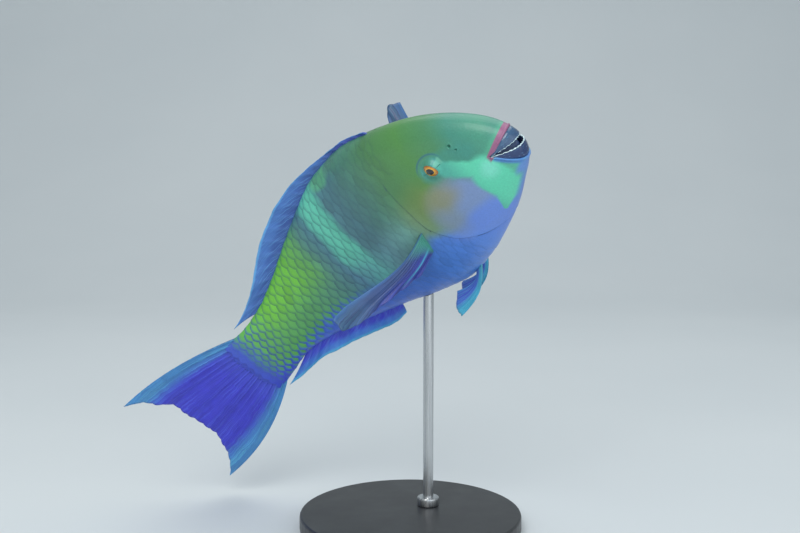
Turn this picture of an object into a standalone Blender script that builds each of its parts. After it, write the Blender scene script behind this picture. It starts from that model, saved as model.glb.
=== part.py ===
"""A parrotfish, life size, held in a swimming turn by a rod on a round base.

The fish is modelled straight: x runs back from the snout, y to its right side and z up,
in metres, with its stations given as shares of LENGTH. Each piece is then bent along the
swimming spine and turned on to the stand. The origin is the centre of the base's
underside.
"""
import math

import bmesh
import bpy
import numpy as np
from mathutils import Matrix, Vector

# Driving sizes of the fish, in metres
LENGTH = 0.31          # snout to the end of the tail stalk
GAP = 0.0003           # left between pieces that touch
SLANT_GAP = 0.0006     # the same, measured along x where the faces slant
AROUND = 48            # points round each section of the body
ROUNDNESS = 2.2        # 2 is an ellipse, more is fuller at the corners

# Profile of the body: heights over and under the axis and half width, as shares of LENGTH
STATION = (0.009, 0.022, 0.04, 0.08, 0.13, 0.20, 0.30, 0.40, 0.50, 0.60, 0.70, 0.80, 0.88, 0.95, 1.0)
BACK = (0.0, 0.043, 0.071, 0.112, 0.149, 0.186, 0.219, 0.240, 0.228, 0.196, 0.157, 0.115, 0.089, 0.080,
        0.084)
BELLY = (0.0, 0.046, 0.063, 0.089, 0.120, 0.152, 0.186, 0.203, 0.195, 0.170, 0.138, 0.103, 0.087, 0.099,
         0.106)
HALF = (0.0, 0.027, 0.038, 0.051, 0.061, 0.072, 0.081, 0.083, 0.078, 0.068, 0.054, 0.040, 0.029, 0.020,
        0.012)

# Gill opening, where the head ends: angle round the body in degrees, and share of LENGTH
EDGE_ANGLE = (-90.0, -66.0, -45.0, -24.0, -6.0, 18.0, 42.0, 66.0, 90.0)
EDGE_X = (0.155, 0.185, 0.240, 0.298, 0.322, 0.322, 0.305, 0.286, 0.280)
GILL_MIDDLE = 0.27      # share of LENGTH to which the closed faces of the opening lean
GILL_RINGS = (0.35, 0.70)
SNOUT = 0.0095
TRUNK_END = 0.80
STALK_END = 0.985

# Head
EYE = (0.190, 0.073)   # share of LENGTH back and up
EYE_RADIUS = 0.0078
EYE_BULGE = 0.0026     # how far the ball stands out of the head
RIM_RADIUS = 0.0070
RIM_WIRE = 0.0011
NOSTRILS = ((0.114, 0.070), (0.122, 0.085))
NOSTRIL_RADIUS = 0.0011
MOUTH_CORNER = (0.073, 0.0105)
UPPER_LIP = (0.0157, 0.0301)
LOWER_LIP = (0.0293, -0.0541)
UPPER_EDGE = -0.0060   # height of the upper beak's cutting edge at the tip
LOWER_EDGE = -0.0240
LIP_RADIUS = 0.0013
LIP_BEYOND = (0.15, 0.09)       # how far the cuts along the lips reach forwards and up or down
MOUTH_AHEAD = -0.1              # a place well ahead of the snout
PALATE = 0.0030        # thickness left in the beak plates
BEAK_SINK = 0.0004     # how far the plates lie under the snout's surface
HOLLOW = (0.062, 0.030, 0.036)  # half length, width and height of the hollow behind the plates
EYE_SEAT = 0.72        # how far out on the ball its rim of lids lies
COVER_WIDTH = (0.020, 0.078)    # width of the gill cover at its ends, and what its middle adds
COVER_STEPS = (-8, 5)  # lowest and highest point round the section
SET_OUT = 3.0          # how many gaps the seat is wider than the cover, for its slanting rims
COVER_TAPER = 0.006    # its inner face ends this much short of the opening
COVER_OUT = 0.0005     # how far the gill cover stands proud
COVER_IN = 0.0020

# Swimming bend: heading, droop and twist of the spine along its length
HEADING_X = (0.28, 0.45, 0.65, 0.85, 1.05, 1.40)
HEADING = (0.0, 5.0, 23.0, 34.0, 30.0, 28.0)
RISE_X = (0.40, 0.60, 0.80, 1.40)
RISE = (0.0, 0.012, 0.013, 0.012)
TWIST = -10.4
TWIST_X = (0.35, 1.0)

# Place on the stand: directions of the head and the back, and the point at HOLD_X
HEAD_WAY = (0.567, -0.662, 0.489)
BACK_WAY = (-0.727, -0.124, 0.675)
HOLD_X = 0.45
HOLD_POINT = (-0.008, -0.003, 0.232)

# Stand
BASE_RADIUS = 0.085
BASE_HEIGHT = 0.012
ROD_RADIUS = 0.004
ROD_TOP = 0.215
ROD_PLACE = (0.014, 0.016)

# Fins: thickness of a ray in metres, and of the skin between as a share of it
RAY = 0.0015
WEB_SHARE = 0.42
LONG_TAPER = (1.5, 1.3, 1.05, 0.9, 0.8, 0.7, 0.6, 0.5, 0.42)  # thickness down a long ray

# Dorsal fin: shares of LENGTH along the back, height of the rays there, and how far they lean
DORSAL_RAYS = 19
DORSAL_ENDS = (0.300, 0.885)
DORSAL_X = (0.300, 0.40, 0.465, 0.535, 0.610, 0.690, 0.765, 0.810, 0.885)
DORSAL_TALL = (0.006, 0.010, 0.021, 0.042, 0.056, 0.061, 0.047, 0.034, 0.018)
DORSAL_LEAN = (0.012, 0.024, 0.036, 0.045, 0.050, 0.050, 0.055, 0.060, 0.072)

# Anal fin, in the same way along the belly
ANAL_RAYS = 12
ANAL_X = (0.615, 0.66, 0.74, 0.82, 0.885)
ANAL_DEEP = (0.030, 0.048, 0.049, 0.040, 0.013)
ANAL_LEAN_X = (0.615, 0.70, 0.80, 0.885)
ANAL_LEAN = (0.012, 0.030, 0.052, 0.105)

# Tail fin: reach of its middle rays and what the outer ones add, and its half height
TAIL_RAYS = 17
TAIL_REACH = (1.232, 0.088)
TAIL_HALF = 0.176
TAIL_DROP = 0.008
TAIL_BOW = (0.006, 0.009)  # how far the upper and the lower edge bulge, in metres
TAIL_TAPER = (3.0, 1.7, 1.15, 0.95, 0.8, 0.7, 0.6, 0.5, 0.42)

# Pectoral fins: root, lengths of the rays across the fan, and directions of its two edges
PECTORAL_RAYS = 14
PECTORAL_ROOT = (0.339, -0.022)
PECTORAL_SPAN = (0.020, -0.052)
PECTORAL_ACROSS = (0.0, 0.10, 0.20, 0.30, 0.45, 0.60, 0.85, 1.0)
PECTORAL_SIZE = (0.335, 0.340, 0.305, 0.255, 0.195, 0.150, 0.100, 0.070)
PECTORAL_OPENING = 0.6  # under 1 the leading rays part more than the last ones
SWEPT_WAYS = ((0.748, 0.657, 0.084), (0.690, 0.670, -0.270))
SWEPT_BOW = (0, 0.0025, -0.0075)
RAISED_WAYS = ((0.148, 0.676, 0.721), (0.35, 0.25, 0.90))
RAISED_BOW = (0, 0.0010, -0.0030)
RAISED_SHARE = 0.85     # the raised fin is tilted, so it is drawn a little shorter

# Pelvic fins: root, span and length of the rays, and directions of the two edges
PELVIC_RAYS = 6
PELVIC_ROOT = (0.335, 0.022)
PELVIC_SPAN = (0.030, -0.010)
PELVIC_SIZE = (0.185, 0.095)
PELVIC_WAYS = ((0.88, 0.08, -0.47), (0.97, 0.10, -0.25))
PELVIC_BOW = (-0.004, 0, -0.004)
PELVIC_SUNK = 0.008
PELVIC_TAPER = (1.4, 1.3, 1.1, 0.95, 0.8, 0.65, 0.5)
ROOT_SUNK = 0.002      # how deep a paired fin's root goes before it is cut flush


def smooth(stations, values, x):
    """Monotone curve through the stations, read at x."""
    xs, ys = np.asarray(stations, float), np.asarray(values, float)
    x = np.asarray(x, float)
    step, slope = np.diff(xs), np.diff(ys) / np.diff(xs)
    tangent = np.zeros_like(ys)
    same = slope[:-1] * slope[1:] > 0
    a, b = 2 * step[1:] + step[:-1], step[1:] + 2 * step[:-1]
    safe = np.where(slope == 0, 1.0, slope)
    tangent[1:-1] = np.where(same, (a + b) / (a / safe[:-1] + b / safe[1:]), 0)
    tangent[0], tangent[-1] = slope[0], slope[-1]
    i = np.clip(np.searchsorted(xs, x) - 1, 0, len(step) - 1)
    t = np.clip((x - xs[i]) / step[i], 0, 1)
    h = step[i]
    return (ys[i] * (1 + 2 * t) * (1 - t) ** 2 + h * tangent[i] * t * (1 - t) ** 2
            + ys[i + 1] * t * t * (3 - 2 * t) - h * tangent[i + 1] * t * t * (1 - t))


def profile(values, x):
    """One of the body's profiles at shares x, blunt at the snout as a root of x is."""
    begin = STATION[0]
    past = np.maximum(np.asarray(x, float) - begin, 0)
    return smooth(np.sqrt(np.array(STATION) - begin), values, np.sqrt(past))


def section(x):
    """Centre height, half height and half width of the body at share x, in metres."""
    top, bottom = profile(BACK, x), -profile(BELLY, x)
    return (top + bottom) / 2 * LENGTH, (top - bottom) / 2 * LENGTH, profile(HALF, x) * LENGTH


def skin(x, angle, lift=0.0):
    """Point of the body's surface at share x and an angle in radians, 0 right, up positive."""
    x, angle = np.broadcast_arrays(np.asarray(x, float), np.asarray(angle, float))
    centre, high, wide = section(x)
    power = 2 / ROUNDNESS
    cos, sin = np.cos(angle), np.sin(angle)
    y = (wide + lift) * np.sign(cos) * np.abs(cos) ** power
    z = centre + (high + lift) * np.sign(sin) * np.abs(sin) ** power
    return np.stack([x * LENGTH, y, z], -1)


def flank(x, height):
    """Distance of the right flank from the middle plane, at shares x and height."""
    centre, high, wide = section(x)
    up = np.clip(np.abs((height * LENGTH - centre) / high), 0, 1)
    return wide * (1 - up ** ROUNDNESS) ** (1 / ROUNDNESS)


def spine(x):
    """Place of the bent axis at shares x, and its heading there, in the fish's own plane."""
    table = np.linspace(-0.1, 1.6, 341)
    way = np.radians(smooth(HEADING_X, HEADING, table))
    middle = (way[1:] + way[:-1]) / 2
    run = np.diff(table)
    along = np.concatenate([[table[0]], table[0] + np.cumsum(np.cos(middle) * run)])
    aside = np.concatenate([[0.0], np.cumsum(np.sin(middle) * run)])
    return np.interp(x, table, along), np.interp(x, table, aside), np.interp(x, table, way)


def pose(points):
    """Bend straight points along the swimming spine and set them on the stand."""
    p = np.asarray(points, float) / LENGTH
    x = p[:, 0]
    share = np.clip((x - TWIST_X[0]) / (TWIST_X[1] - TWIST_X[0]), 0, 1)
    twist = math.radians(TWIST) * share * share * (3 - 2 * share)
    y = p[:, 1] * np.cos(twist) - p[:, 2] * np.sin(twist)
    z = p[:, 1] * np.sin(twist) + p[:, 2] * np.cos(twist) + smooth(RISE_X, RISE, x)
    along, aside, way = spine(x)
    back = along - np.sin(way) * y - HOLD_X
    right = aside + np.cos(way) * y
    forward = Vector(HEAD_WAY).normalized()
    left = Vector(BACK_WAY).cross(forward).normalized()
    up = forward.cross(left)
    turn = np.array([-forward, -left, up])
    return np.stack([back, right, z], -1) @ turn * LENGTH + np.array(HOLD_POINT)


def material(name, colour, roughness, metallic=0.0):
    made = bpy.data.materials.new(name)
    made.use_nodes = True
    shader = made.node_tree.nodes["Principled BSDF"]
    shader.inputs["Base Color"].default_value = (*colour, 1.0)
    shader.inputs["Roughness"].default_value = roughness
    shader.inputs["Metallic"].default_value = metallic
    return made


def new_object(name, mesh, collection, colour=None):
    made = bpy.data.objects.new(name, mesh)
    collection.objects.link(made)
    if colour:
        mesh.materials.append(colour)
    mesh.shade_smooth()
    mesh.set_sharp_from_angle(angle=math.radians(35))
    return made


def loft(name, rings):
    """Closed mesh through rings of equal counts, a point at each end closing it."""
    count, around = rings.shape[:2]
    points = rings.reshape(-1, 3).tolist() + [rings[0].mean(0).tolist(), rings[-1].mean(0).tolist()]
    first, last = count * around, count * around + 1
    faces = []
    for i in range(around):
        j = (i + 1) % around
        faces.append((first, j, i))
        faces.append((last, (count - 1) * around + i, (count - 1) * around + j))
        for ring in range(count - 1):
            low, high = ring * around, (ring + 1) * around
            faces.append((low + i, low + j, high + j, high + i))
    mesh = bpy.data.meshes.new(name)
    mesh.from_pydata(points, [], faces)
    bm = bmesh.new()
    bm.from_mesh(mesh)
    bmesh.ops.triangulate(bm, faces=bm.faces)
    bmesh.ops.recalc_face_normals(bm, faces=bm.faces)
    bm.to_mesh(mesh)
    bm.free()
    return mesh


def settle(thing):
    """Apply a piece's modifiers and keep its largest closed surface."""
    graph = bpy.context.evaluated_depsgraph_get()
    mesh = bpy.data.meshes.new_from_object(thing.evaluated_get(graph))
    bm = bmesh.new()
    bm.from_mesh(mesh)
    bm.transform(thing.matrix_world)
    left = set(bm.faces)
    shells = []
    while left:
        stack, shell = [left.pop()], set()
        while stack:
            face = stack.pop()
            shell.add(face)
            near = {f for edge in face.edges for f in edge.link_faces} & left
            left -= near
            stack.extend(near)
        shells.append(shell)
    keep = max(shells, key=lambda shell: sum(f.calc_area() for f in shell))
    bmesh.ops.delete(bm, geom=[f for f in bm.faces if f not in keep], context="FACES")
    bmesh.ops.triangulate(bm, faces=bm.faces)
    bm.to_mesh(mesh)
    bm.free()
    thing.modifiers.clear()
    thing.data = mesh
    thing.matrix_world = Matrix()
    return thing


def combine(thing, others, how, solver="EXACT"):
    """One Boolean of a piece with a collection of closed meshes, applied, which then go."""
    group = bpy.data.collections.new("cutters of " + thing.name)
    cutters.children.link(group)
    for other in others:
        for home in list(other.users_collection):
            home.objects.unlink(other)
        group.objects.link(other)
        other.hide_render = True
        other.display_type = "WIRE"
    boolean = thing.modifiers.new("join", "BOOLEAN")
    boolean.operation = how
    boolean.operand_type = "COLLECTION"
    boolean.collection = group
    boolean.solver = solver
    settle(thing)
    for other in others:
        bpy.data.objects.remove(other)
    bpy.data.collections.remove(group)
    return thing


def place(thing):
    """Bend a straight piece and put it on the stand."""
    mesh = thing.data
    points = np.empty(len(mesh.vertices) * 3)
    mesh.vertices.foreach_get("co", points)
    mesh.vertices.foreach_set("co", pose(points.reshape(-1, 3)).ravel())
    mesh.update()
    mesh.shade_smooth()
    mesh.set_sharp_from_angle(angle=math.radians(35))
    return thing


def prism(name, outline, half):
    """Plate standing across the middle plane, from an outline in shares back and up."""
    bm = bmesh.new()
    ring = [bm.verts.new((x * LENGTH, -half, z * LENGTH)) for x, z in outline]
    face = bm.faces.new(ring)
    grown = bmesh.ops.extrude_face_region(bm, geom=[face])["geom"]
    moved = [v for v in grown if isinstance(v, bmesh.types.BMVert)]
    bmesh.ops.translate(bm, vec=(0, 2 * half, 0), verts=moved)
    bmesh.ops.recalc_face_normals(bm, faces=bm.faces)
    mesh = bpy.data.meshes.new(name)
    bm.to_mesh(mesh)
    bm.free()
    return new_object(name, mesh, cutters)


def ball(name, centre, radius, across=20, stretch=(1, 1, 1)):
    bm = bmesh.new()
    bmesh.ops.create_uvsphere(bm, u_segments=across, v_segments=across * 3 // 5, radius=radius)
    bmesh.ops.scale(bm, vec=stretch, verts=bm.verts)
    bmesh.ops.rotate(bm, matrix=Matrix.Rotation(math.pi / 2, 3, "X"), verts=bm.verts)
    bmesh.ops.translate(bm, vec=centre, verts=bm.verts)
    mesh = bpy.data.meshes.new(name)
    bm.to_mesh(mesh)
    bm.free()
    return new_object(name, mesh, cutters)


def body_rings(start, end, count, lift=0.0, ease=1.0):
    """Rings of the body between two ends, each a share of LENGTH or one for each angle."""
    angle = np.radians(np.arange(AROUND) * 360 / AROUND)
    t = np.linspace(0, 1, count)[:, None] ** ease
    x = start * (1 - t) + end * t
    return skin(x, angle[None, :], lift)


def gill_edge(angle):
    """Share of LENGTH where the gill opening lies, for angles in radians."""
    folded = np.degrees(np.arcsin(np.sin(angle)))
    return smooth(EDGE_ANGLE, EDGE_X, folded)


def parted_faces(rings, at_end):
    """Add rings that close the curved gill face towards a point on the axis."""
    edge = rings[-1] if at_end else rings[0]
    middle = np.array([GILL_MIDDLE * LENGTH, 0.0, 0.0])
    if not at_end:
        middle[0] += SLANT_GAP
    inner = np.stack([edge + (middle - edge) * share for share in GILL_RINGS])
    return np.concatenate([rings, inner]) if at_end else np.concatenate([inner[::-1], rings])


def head_mesh(name, lift=0.0):
    angle = np.radians(np.arange(AROUND) * 360 / AROUND)
    rings = body_rings(SNOUT, gill_edge(angle), 22, lift, ease=1.6)
    return loft(name, parted_faces(rings, True))


def torus(name, centre, ring, wire, tilt):
    bpy.ops.mesh.primitive_torus_add(
        major_radius=ring, minor_radius=wire, major_segments=24, minor_segments=6,
        location=centre, rotation=tilt)
    made = bpy.context.object
    made.name = name
    for home in list(made.users_collection):
        home.objects.unlink(made)
    cutters.objects.link(made)
    return made


def eye_centre(side):
    x, z = EYE
    out = float(flank(x, z)) - EYE_RADIUS + EYE_BULGE
    return Vector((x * LENGTH, side * out, z * LENGTH))


def lip(name, front, radius):
    """Roll of flesh along one jaw's edge, from corner to corner round the snout."""
    points = []
    for step in np.linspace(-1, 1, 17):
        share = 1 - abs(step) ** ROUNDNESS
        x = MOUTH_CORNER[0] + (front[0] - MOUTH_CORNER[0]) * share
        z = MOUTH_CORNER[1] + (front[1] - MOUTH_CORNER[1]) * share
        points.append((x * LENGTH, math.copysign(float(flank(x, z)), step), z * LENGTH))
    curve = bpy.data.curves.new(name, "CURVE")
    curve.dimensions = "3D"
    curve.bevel_depth = radius
    curve.bevel_resolution = 1
    curve.use_fill_caps = True
    spline = curve.splines.new("POLY")
    spline.points.add(len(points) - 1)
    for target, point in zip(spline.points, points):
        target.co = (*point, 1.0)
    holder = bpy.data.objects.new(name, curve)
    cutters.objects.link(holder)
    graph = bpy.context.evaluated_depsgraph_get()
    mesh = bpy.data.meshes.new_from_object(holder.evaluated_get(graph))
    bpy.data.objects.remove(holder)
    bm = bmesh.new()
    bm.from_mesh(mesh)
    bmesh.ops.remove_doubles(bm, verts=bm.verts, dist=0.00001)
    bmesh.ops.recalc_face_normals(bm, faces=bm.faces)
    bm.to_mesh(mesh)
    bm.free()
    return new_object(name, mesh, cutters)


def cover_sheets(side, grow, out, inward, taper):
    """Two grids lying in the side of the head, out and in, in a half moon along the gill edge.

    grow is how far the outline is set out on every side, as a share of LENGTH.
    """
    steps = np.arange(COVER_STEPS[0], COVER_STEPS[1] + 1) * 2 * math.pi / AROUND
    width = COVER_WIDTH[0] + COVER_WIDTH[1] * np.sin(np.linspace(0, math.pi, len(steps)))
    high = section(GILL_MIDDLE)[1] / LENGTH
    begin = gill_edge(steps) - width
    steps[0] -= SET_OUT * grow / high
    steps[-1] += SET_OUT * grow / high
    share = np.linspace(0, 1, 9)
    sheets = []
    for lift, shorter in ((out, 0.0), (-inward, taper)):
        edge = gill_edge(steps) + SET_OUT * grow - shorter
        x = (begin - SET_OUT * grow)[:, None] * (1 - share) + edge[:, None] * share
        sheet = skin(x, steps[:, None], lift)
        sheet[..., 1] *= side
        sheets.append(sheet)
    return sheets


def plate_mesh(name, sheets):
    """Closed plate between two grids of equal shape."""
    rows, columns = sheets[0].shape[:2]
    size = rows * columns
    points = np.concatenate([sheet.reshape(-1, 3) for sheet in sheets]).tolist()
    faces = []
    for r in range(rows - 1):
        for c in range(columns - 1):
            a, b = r * columns + c, (r + 1) * columns + c
            faces.append((a, a + 1, b + 1, b))
            faces.append((size + a, size + b, size + b + 1, size + a + 1))
    rim = [c for c in range(columns)]
    rim += [r * columns + columns - 1 for r in range(1, rows)]
    rim += [(rows - 1) * columns + c for c in range(columns - 2, -1, -1)]
    rim += [r * columns for r in range(rows - 2, 0, -1)]
    for i, a in enumerate(rim):
        b = rim[(i + 1) % len(rim)]
        faces.append((a, size + a, size + b, b))
    mesh = bpy.data.meshes.new(name)
    mesh.from_pydata(points, [], faces)
    bm = bmesh.new()
    bm.from_mesh(mesh)
    bmesh.ops.triangulate(bm, faces=bm.faces)
    bmesh.ops.recalc_face_normals(bm, faces=bm.faces)
    bm.to_mesh(mesh)
    bm.free()
    return mesh


def gill_cover(side, word):
    sheets = cover_sheets(side, 0.0, COVER_OUT, COVER_IN, COVER_TAPER)
    made = new_object("gill_cover_" + word, plate_mesh("gill_cover_" + word, sheets), fish, COVER)
    recess = cover_sheets(side, GAP / LENGTH, 0.004, COVER_IN + GAP, 0.0)
    cutter = new_object("recess_" + word, plate_mesh("recess_" + word, recess), cutters)
    return made, cutter


def past_lip(front):
    """Point on the line from the mouth's corner through a lip's front, beyond the snout."""
    back, up = front[0] - MOUTH_CORNER[0], front[1] - MOUTH_CORNER[1]
    reach = min(LIP_BEYOND[0] / -back, LIP_BEYOND[1] / abs(up))
    return MOUTH_CORNER[0] + back * reach, MOUTH_CORNER[1] + up * reach


def head():
    """Head with open mouth, eye sockets, rims, nostrils and seats for the gill covers."""
    made = new_object("head", head_mesh("head"), fish, SKIN_FRONT)
    high, low = past_lip(UPPER_LIP), past_lip(LOWER_LIP)
    notch = [(MOUTH_AHEAD, high[1]), high, MOUTH_CORNER, low, (MOUTH_AHEAD, low[1])]
    cuts = [prism("notch", notch, 0.03)]
    rims, covers = [], []
    for side, word in ((1, "right"), (-1, "left")):
        centre = eye_centre(side)
        cuts.append(ball("socket_" + word, centre, EYE_RADIUS + GAP, 20))
        seat = centre + Vector((0, side * (EYE_RADIUS - EYE_BULGE) * EYE_SEAT, 0))
        rims.append(torus("rim_" + word, seat, RIM_RADIUS, RIM_WIRE, (math.pi / 2, 0, 0)))
        for x, z in NOSTRILS:
            spot = Vector((x * LENGTH, side * float(flank(x, z)), z * LENGTH))
            cuts.append(ball("nostril", spot, NOSTRIL_RADIUS, 8))
        cover, recess = gill_cover(side, word)
        covers.append(cover)
        cuts.append(recess)
    rims.append(lip("lip_upper", UPPER_LIP, LIP_RADIUS))
    rims.append(lip("lip_lower", LOWER_LIP, LIP_RADIUS))
    combine(made, rims, "UNION")
    combine(made, cuts, "DIFFERENCE")
    place(made)
    for cover in covers:
        place(cover)


def beak(name, lip_end, edge_height, sign):
    """One horseshoe plate of the beak, cut from the snout ahead of its lip."""
    made = new_object(name, head_mesh(name, -BEAK_SINK), fish, BEAK)
    gap = GAP / LENGTH
    corner = (MOUTH_CORNER[0] - 2.2 * gap, MOUTH_CORNER[1] + sign * 0.6 * gap)
    lip_far = past_lip(lip_end)
    outline = [corner, lip_far, (MOUTH_AHEAD, lip_far[1]),
               (MOUTH_AHEAD, edge_height - (corner[1] - edge_height) * 1.2)]
    keep = prism("keep_" + name, outline, 0.03)
    combine(made, [keep], "INTERSECT")
    long, wide, high = (half * LENGTH for half in HOLLOW)
    hollow = ball("hollow_" + name, Vector((long + SNOUT * LENGTH, 0, -0.003 * LENGTH)), 1.0, 20,
                  (long - PALATE, wide, high - PALATE * 0.4))
    combine(made, [hollow], "DIFFERENCE")
    place(made)


def trunk_mesh(name, lift=0.0):
    angle = np.radians(np.arange(AROUND) * 360 / AROUND)
    rings = body_rings(gill_edge(angle) + SLANT_GAP / LENGTH, TRUNK_END, 22, lift)
    return loft(name, parted_faces(rings, False))


def stalk_mesh(name):
    return loft(name, body_rings(TRUNK_END + GAP / LENGTH, STALK_END, 12))


def eye(side, word):
    made = ball("eye_" + word, eye_centre(side), EYE_RADIUS, 20)
    cutters.objects.unlink(made)
    fish.objects.link(made)
    made.data.materials.append(EYE_GLASS)
    place(made)


def fin(name, roots, tips, bow, colour, rows=7, thick=None, scallop=0.03, early=1):
    """Curved sheet whose rays are ridges raised in its own surface, the same on both faces.

    roots and tips hold one point for each ray, and bow moves the ray aside, most at its
    middle where early is 1, and nearer its root where early is more.
    """
    roots, tips = np.asarray(roots, float), np.asarray(tips, float)
    rays = len(roots)
    columns = 2 * rays - 1
    along = np.linspace(0, rays - 1, columns)
    def spread(values):
        return np.stack([np.interp(along, np.arange(rays), values[:, k]) for k in range(3)], 1)
    root, tip, bend = spread(roots), spread(tips), spread(np.broadcast_to(bow, roots.shape))
    is_web = (np.arange(columns) % 2).astype(float)
    share = np.linspace(0, 1, rows)[:, None, None]
    reach = 1 - scallop * is_web[None, :, None] * share ** 3
    most = (early + 1) ** (early + 1) / early ** early
    grid = root + (tip - root) * share * reach + bend * most * share * (1 - share) ** early
    bm = bmesh.new()
    layer = bm.verts.layers.deform.verify()
    bmesh.ops.create_grid(bm, x_segments=columns - 1, y_segments=rows - 1, size=1)
    order = sorted(bm.verts, key=lambda v: (round(v.co.y, 5), round(v.co.x, 5)))
    posed = pose(grid.reshape(-1, 3))
    for vertex, point in zip(order, posed):
        vertex.co = point
    number = {vertex: i for i, vertex in enumerate(order)}
    if thick is None:
        thick = np.linspace(1.0, 0.45, rows)
    for vertex in bm.verts:
        row, column = divmod(number[vertex], columns)
        web = WEB_SHARE + (1 - WEB_SHARE) * (1 - is_web[column])
        vertex[layer][0] = float(max(thick[row] * web, 0.2))
    bmesh.ops.triangulate(bm, faces=bm.faces, quad_method="FIXED")
    mesh = bpy.data.meshes.new(name)
    bm.to_mesh(mesh)
    bm.free()
    made = new_object(name, mesh, fish, colour)
    made.vertex_groups.new(name="thickness")
    solid = made.modifiers.new("thickness", "SOLIDIFY")
    solid.thickness = RAY
    solid.offset = 0
    solid.vertex_group = "thickness"
    solid.use_even_offset = False
    return settle(made)


def dorsal_fin():
    """Nine spines and ten soft rays: the spines lie folded and the soft rays stand up."""
    x = np.linspace(*DORSAL_ENDS, DORSAL_RAYS)
    tall = smooth(DORSAL_X, DORSAL_TALL, x)
    lean = smooth(DORSAL_X, DORSAL_LEAN, x)
    roots = np.stack([x, 0 * x, profile(BACK, x)], 1) * LENGTH
    roots[:, 2] += GAP
    tips = np.stack([x + lean, 0 * x, profile(BACK, x + lean) + tall], 1) * LENGTH
    fin("dorsal_fin", roots, tips, (0, 0.0, 0.001), FIN_BLUE, rows=6)


def anal_fin():
    """Three spines and nine soft rays, swept back along the belly."""
    x = np.linspace(ANAL_X[0], ANAL_X[-1], ANAL_RAYS)
    deep = smooth(ANAL_X, ANAL_DEEP, x)
    lean = smooth(ANAL_LEAN_X, ANAL_LEAN, x)
    roots = np.stack([x, 0 * x, -profile(BELLY, x)], 1) * LENGTH
    roots[:, 2] -= GAP
    tips = np.stack([x + lean, 0 * x, -profile(BELLY, x + lean) - deep], 1) * LENGTH
    fin("anal_fin", roots, tips, (0, 0, -0.001), FIN_BLUE, rows=6)


def caudal_fin():
    """Lunate tail: long outer rays, short middle ones."""
    t = np.linspace(-1, 1, TAIL_RAYS)
    centre, high, _ = section(STALK_END)
    start = np.full(TAIL_RAYS, STALK_END * LENGTH + GAP)
    roots = np.stack([start, 0 * t, centre + high * 0.96 * t], 1)
    reach = TAIL_REACH[0] + TAIL_REACH[1] * np.abs(t) ** 2.6
    height = np.sign(t) * TAIL_HALF * np.abs(t) ** 0.92 - TAIL_DROP
    tips = np.stack([reach, 0 * t, height], 1) * LENGTH
    bow = np.stack([0 * t, 0 * t, np.where(t > 0, *TAIL_BOW) * t * np.abs(t)], 1)
    fin("caudal_fin", roots, tips, bow, FIN_VIOLET, rows=9, thick=TAIL_TAPER)


def edge_to_edge(ways, t, side):
    """Unit directions of a fan's rays, turned from its first edge to its last."""
    way = np.array(ways[0]) * (1 - t[:, None]) + np.array(ways[1]) * t[:, None]
    way /= np.linalg.norm(way, axis=1)[:, None]
    way[:, 1] *= side
    return way


def pectoral_fin(side, word, ways, bow, part_size):
    """Broad fan on the flank: the right one is swept back and the left one raised to turn."""
    t = np.linspace(0, 1, PECTORAL_RAYS)
    x = PECTORAL_ROOT[0] + PECTORAL_SPAN[0] * t
    z = PECTORAL_ROOT[1] + PECTORAL_SPAN[1] * t
    roots = np.stack([x * LENGTH, side * (flank(x, z) - ROOT_SUNK), z * LENGTH], 1)
    size = smooth(PECTORAL_ACROSS, PECTORAL_SIZE, t) * part_size
    tips = roots + edge_to_edge(ways, t ** PECTORAL_OPENING, side) * size[:, None] * LENGTH
    bows = np.array(bow) * (1, side, 1) * (1 - t[:, None])
    trim(fin("pectoral_fin_" + word, roots, tips, bows, FIN_BLUE, rows=9, thick=LONG_TAPER, early=2))


def pelvic_fin(side, word):
    """Spine and five rays under the belly, swept back."""
    t = np.linspace(0, 1, PELVIC_RAYS)
    x = PELVIC_ROOT[0] + PELVIC_SPAN[0] * t
    y = side * (PELVIC_ROOT[1] + PELVIC_SPAN[1] * t)
    roots = np.stack([x, y, PELVIC_SUNK - profile(BELLY, x)], 1) * LENGTH
    size = PELVIC_SIZE[0] + (PELVIC_SIZE[1] - PELVIC_SIZE[0]) * t ** 1.3
    tips = roots + edge_to_edge(PELVIC_WAYS, t, side) * size[:, None] * LENGTH
    trim(fin("pelvic_fin_" + word, roots, tips, PELVIC_BOW, FIN_BLUE, rows=7, thick=PELVIC_TAPER))


def trim(made):
    """Cut a fin's sunk root flush with the trunk, leaving the gap."""
    cutter = new_object("trunk_round", trunk_mesh("trunk_round", GAP), cutters)
    place(cutter)
    combine(made, [cutter], "DIFFERENCE")


def cylinder(name, place_on_base, radius, low, high, colour, bevel, sides):
    bpy.ops.mesh.primitive_cylinder_add(
        radius=radius, depth=high - low, vertices=sides,
        location=(*place_on_base, (high + low) / 2))
    made = bpy.context.object
    made.name = name
    for home in list(made.users_collection):
        home.objects.unlink(made)
    fish.objects.link(made)
    made.data.materials.append(colour)
    if bevel:
        edge = made.modifiers.new("bevel", "BEVEL")
        edge.width = bevel
        edge.segments = 2
        edge.limit_method = "ANGLE"
    return settle(made)


def stand():
    cylinder("stand_base", (0, 0), BASE_RADIUS, 0, BASE_HEIGHT, BASE_PAINT, 0.0015, 64)
    rod = cylinder("stand_rod", ROD_PLACE, ROD_RADIUS, BASE_HEIGHT + GAP, ROD_TOP, ROD_METAL, 0, 20)
    trim(rod)
    mesh = rod.data
    mesh.shade_smooth()
    mesh.set_sharp_from_angle(angle=math.radians(35))


for old in list(bpy.data.objects):
    bpy.data.objects.remove(old)
fish = bpy.data.collections.new("parrotfish")
cutters = bpy.data.collections.new("cutters")
bpy.context.scene.collection.children.link(fish)
bpy.context.scene.collection.children.link(cutters)

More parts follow.
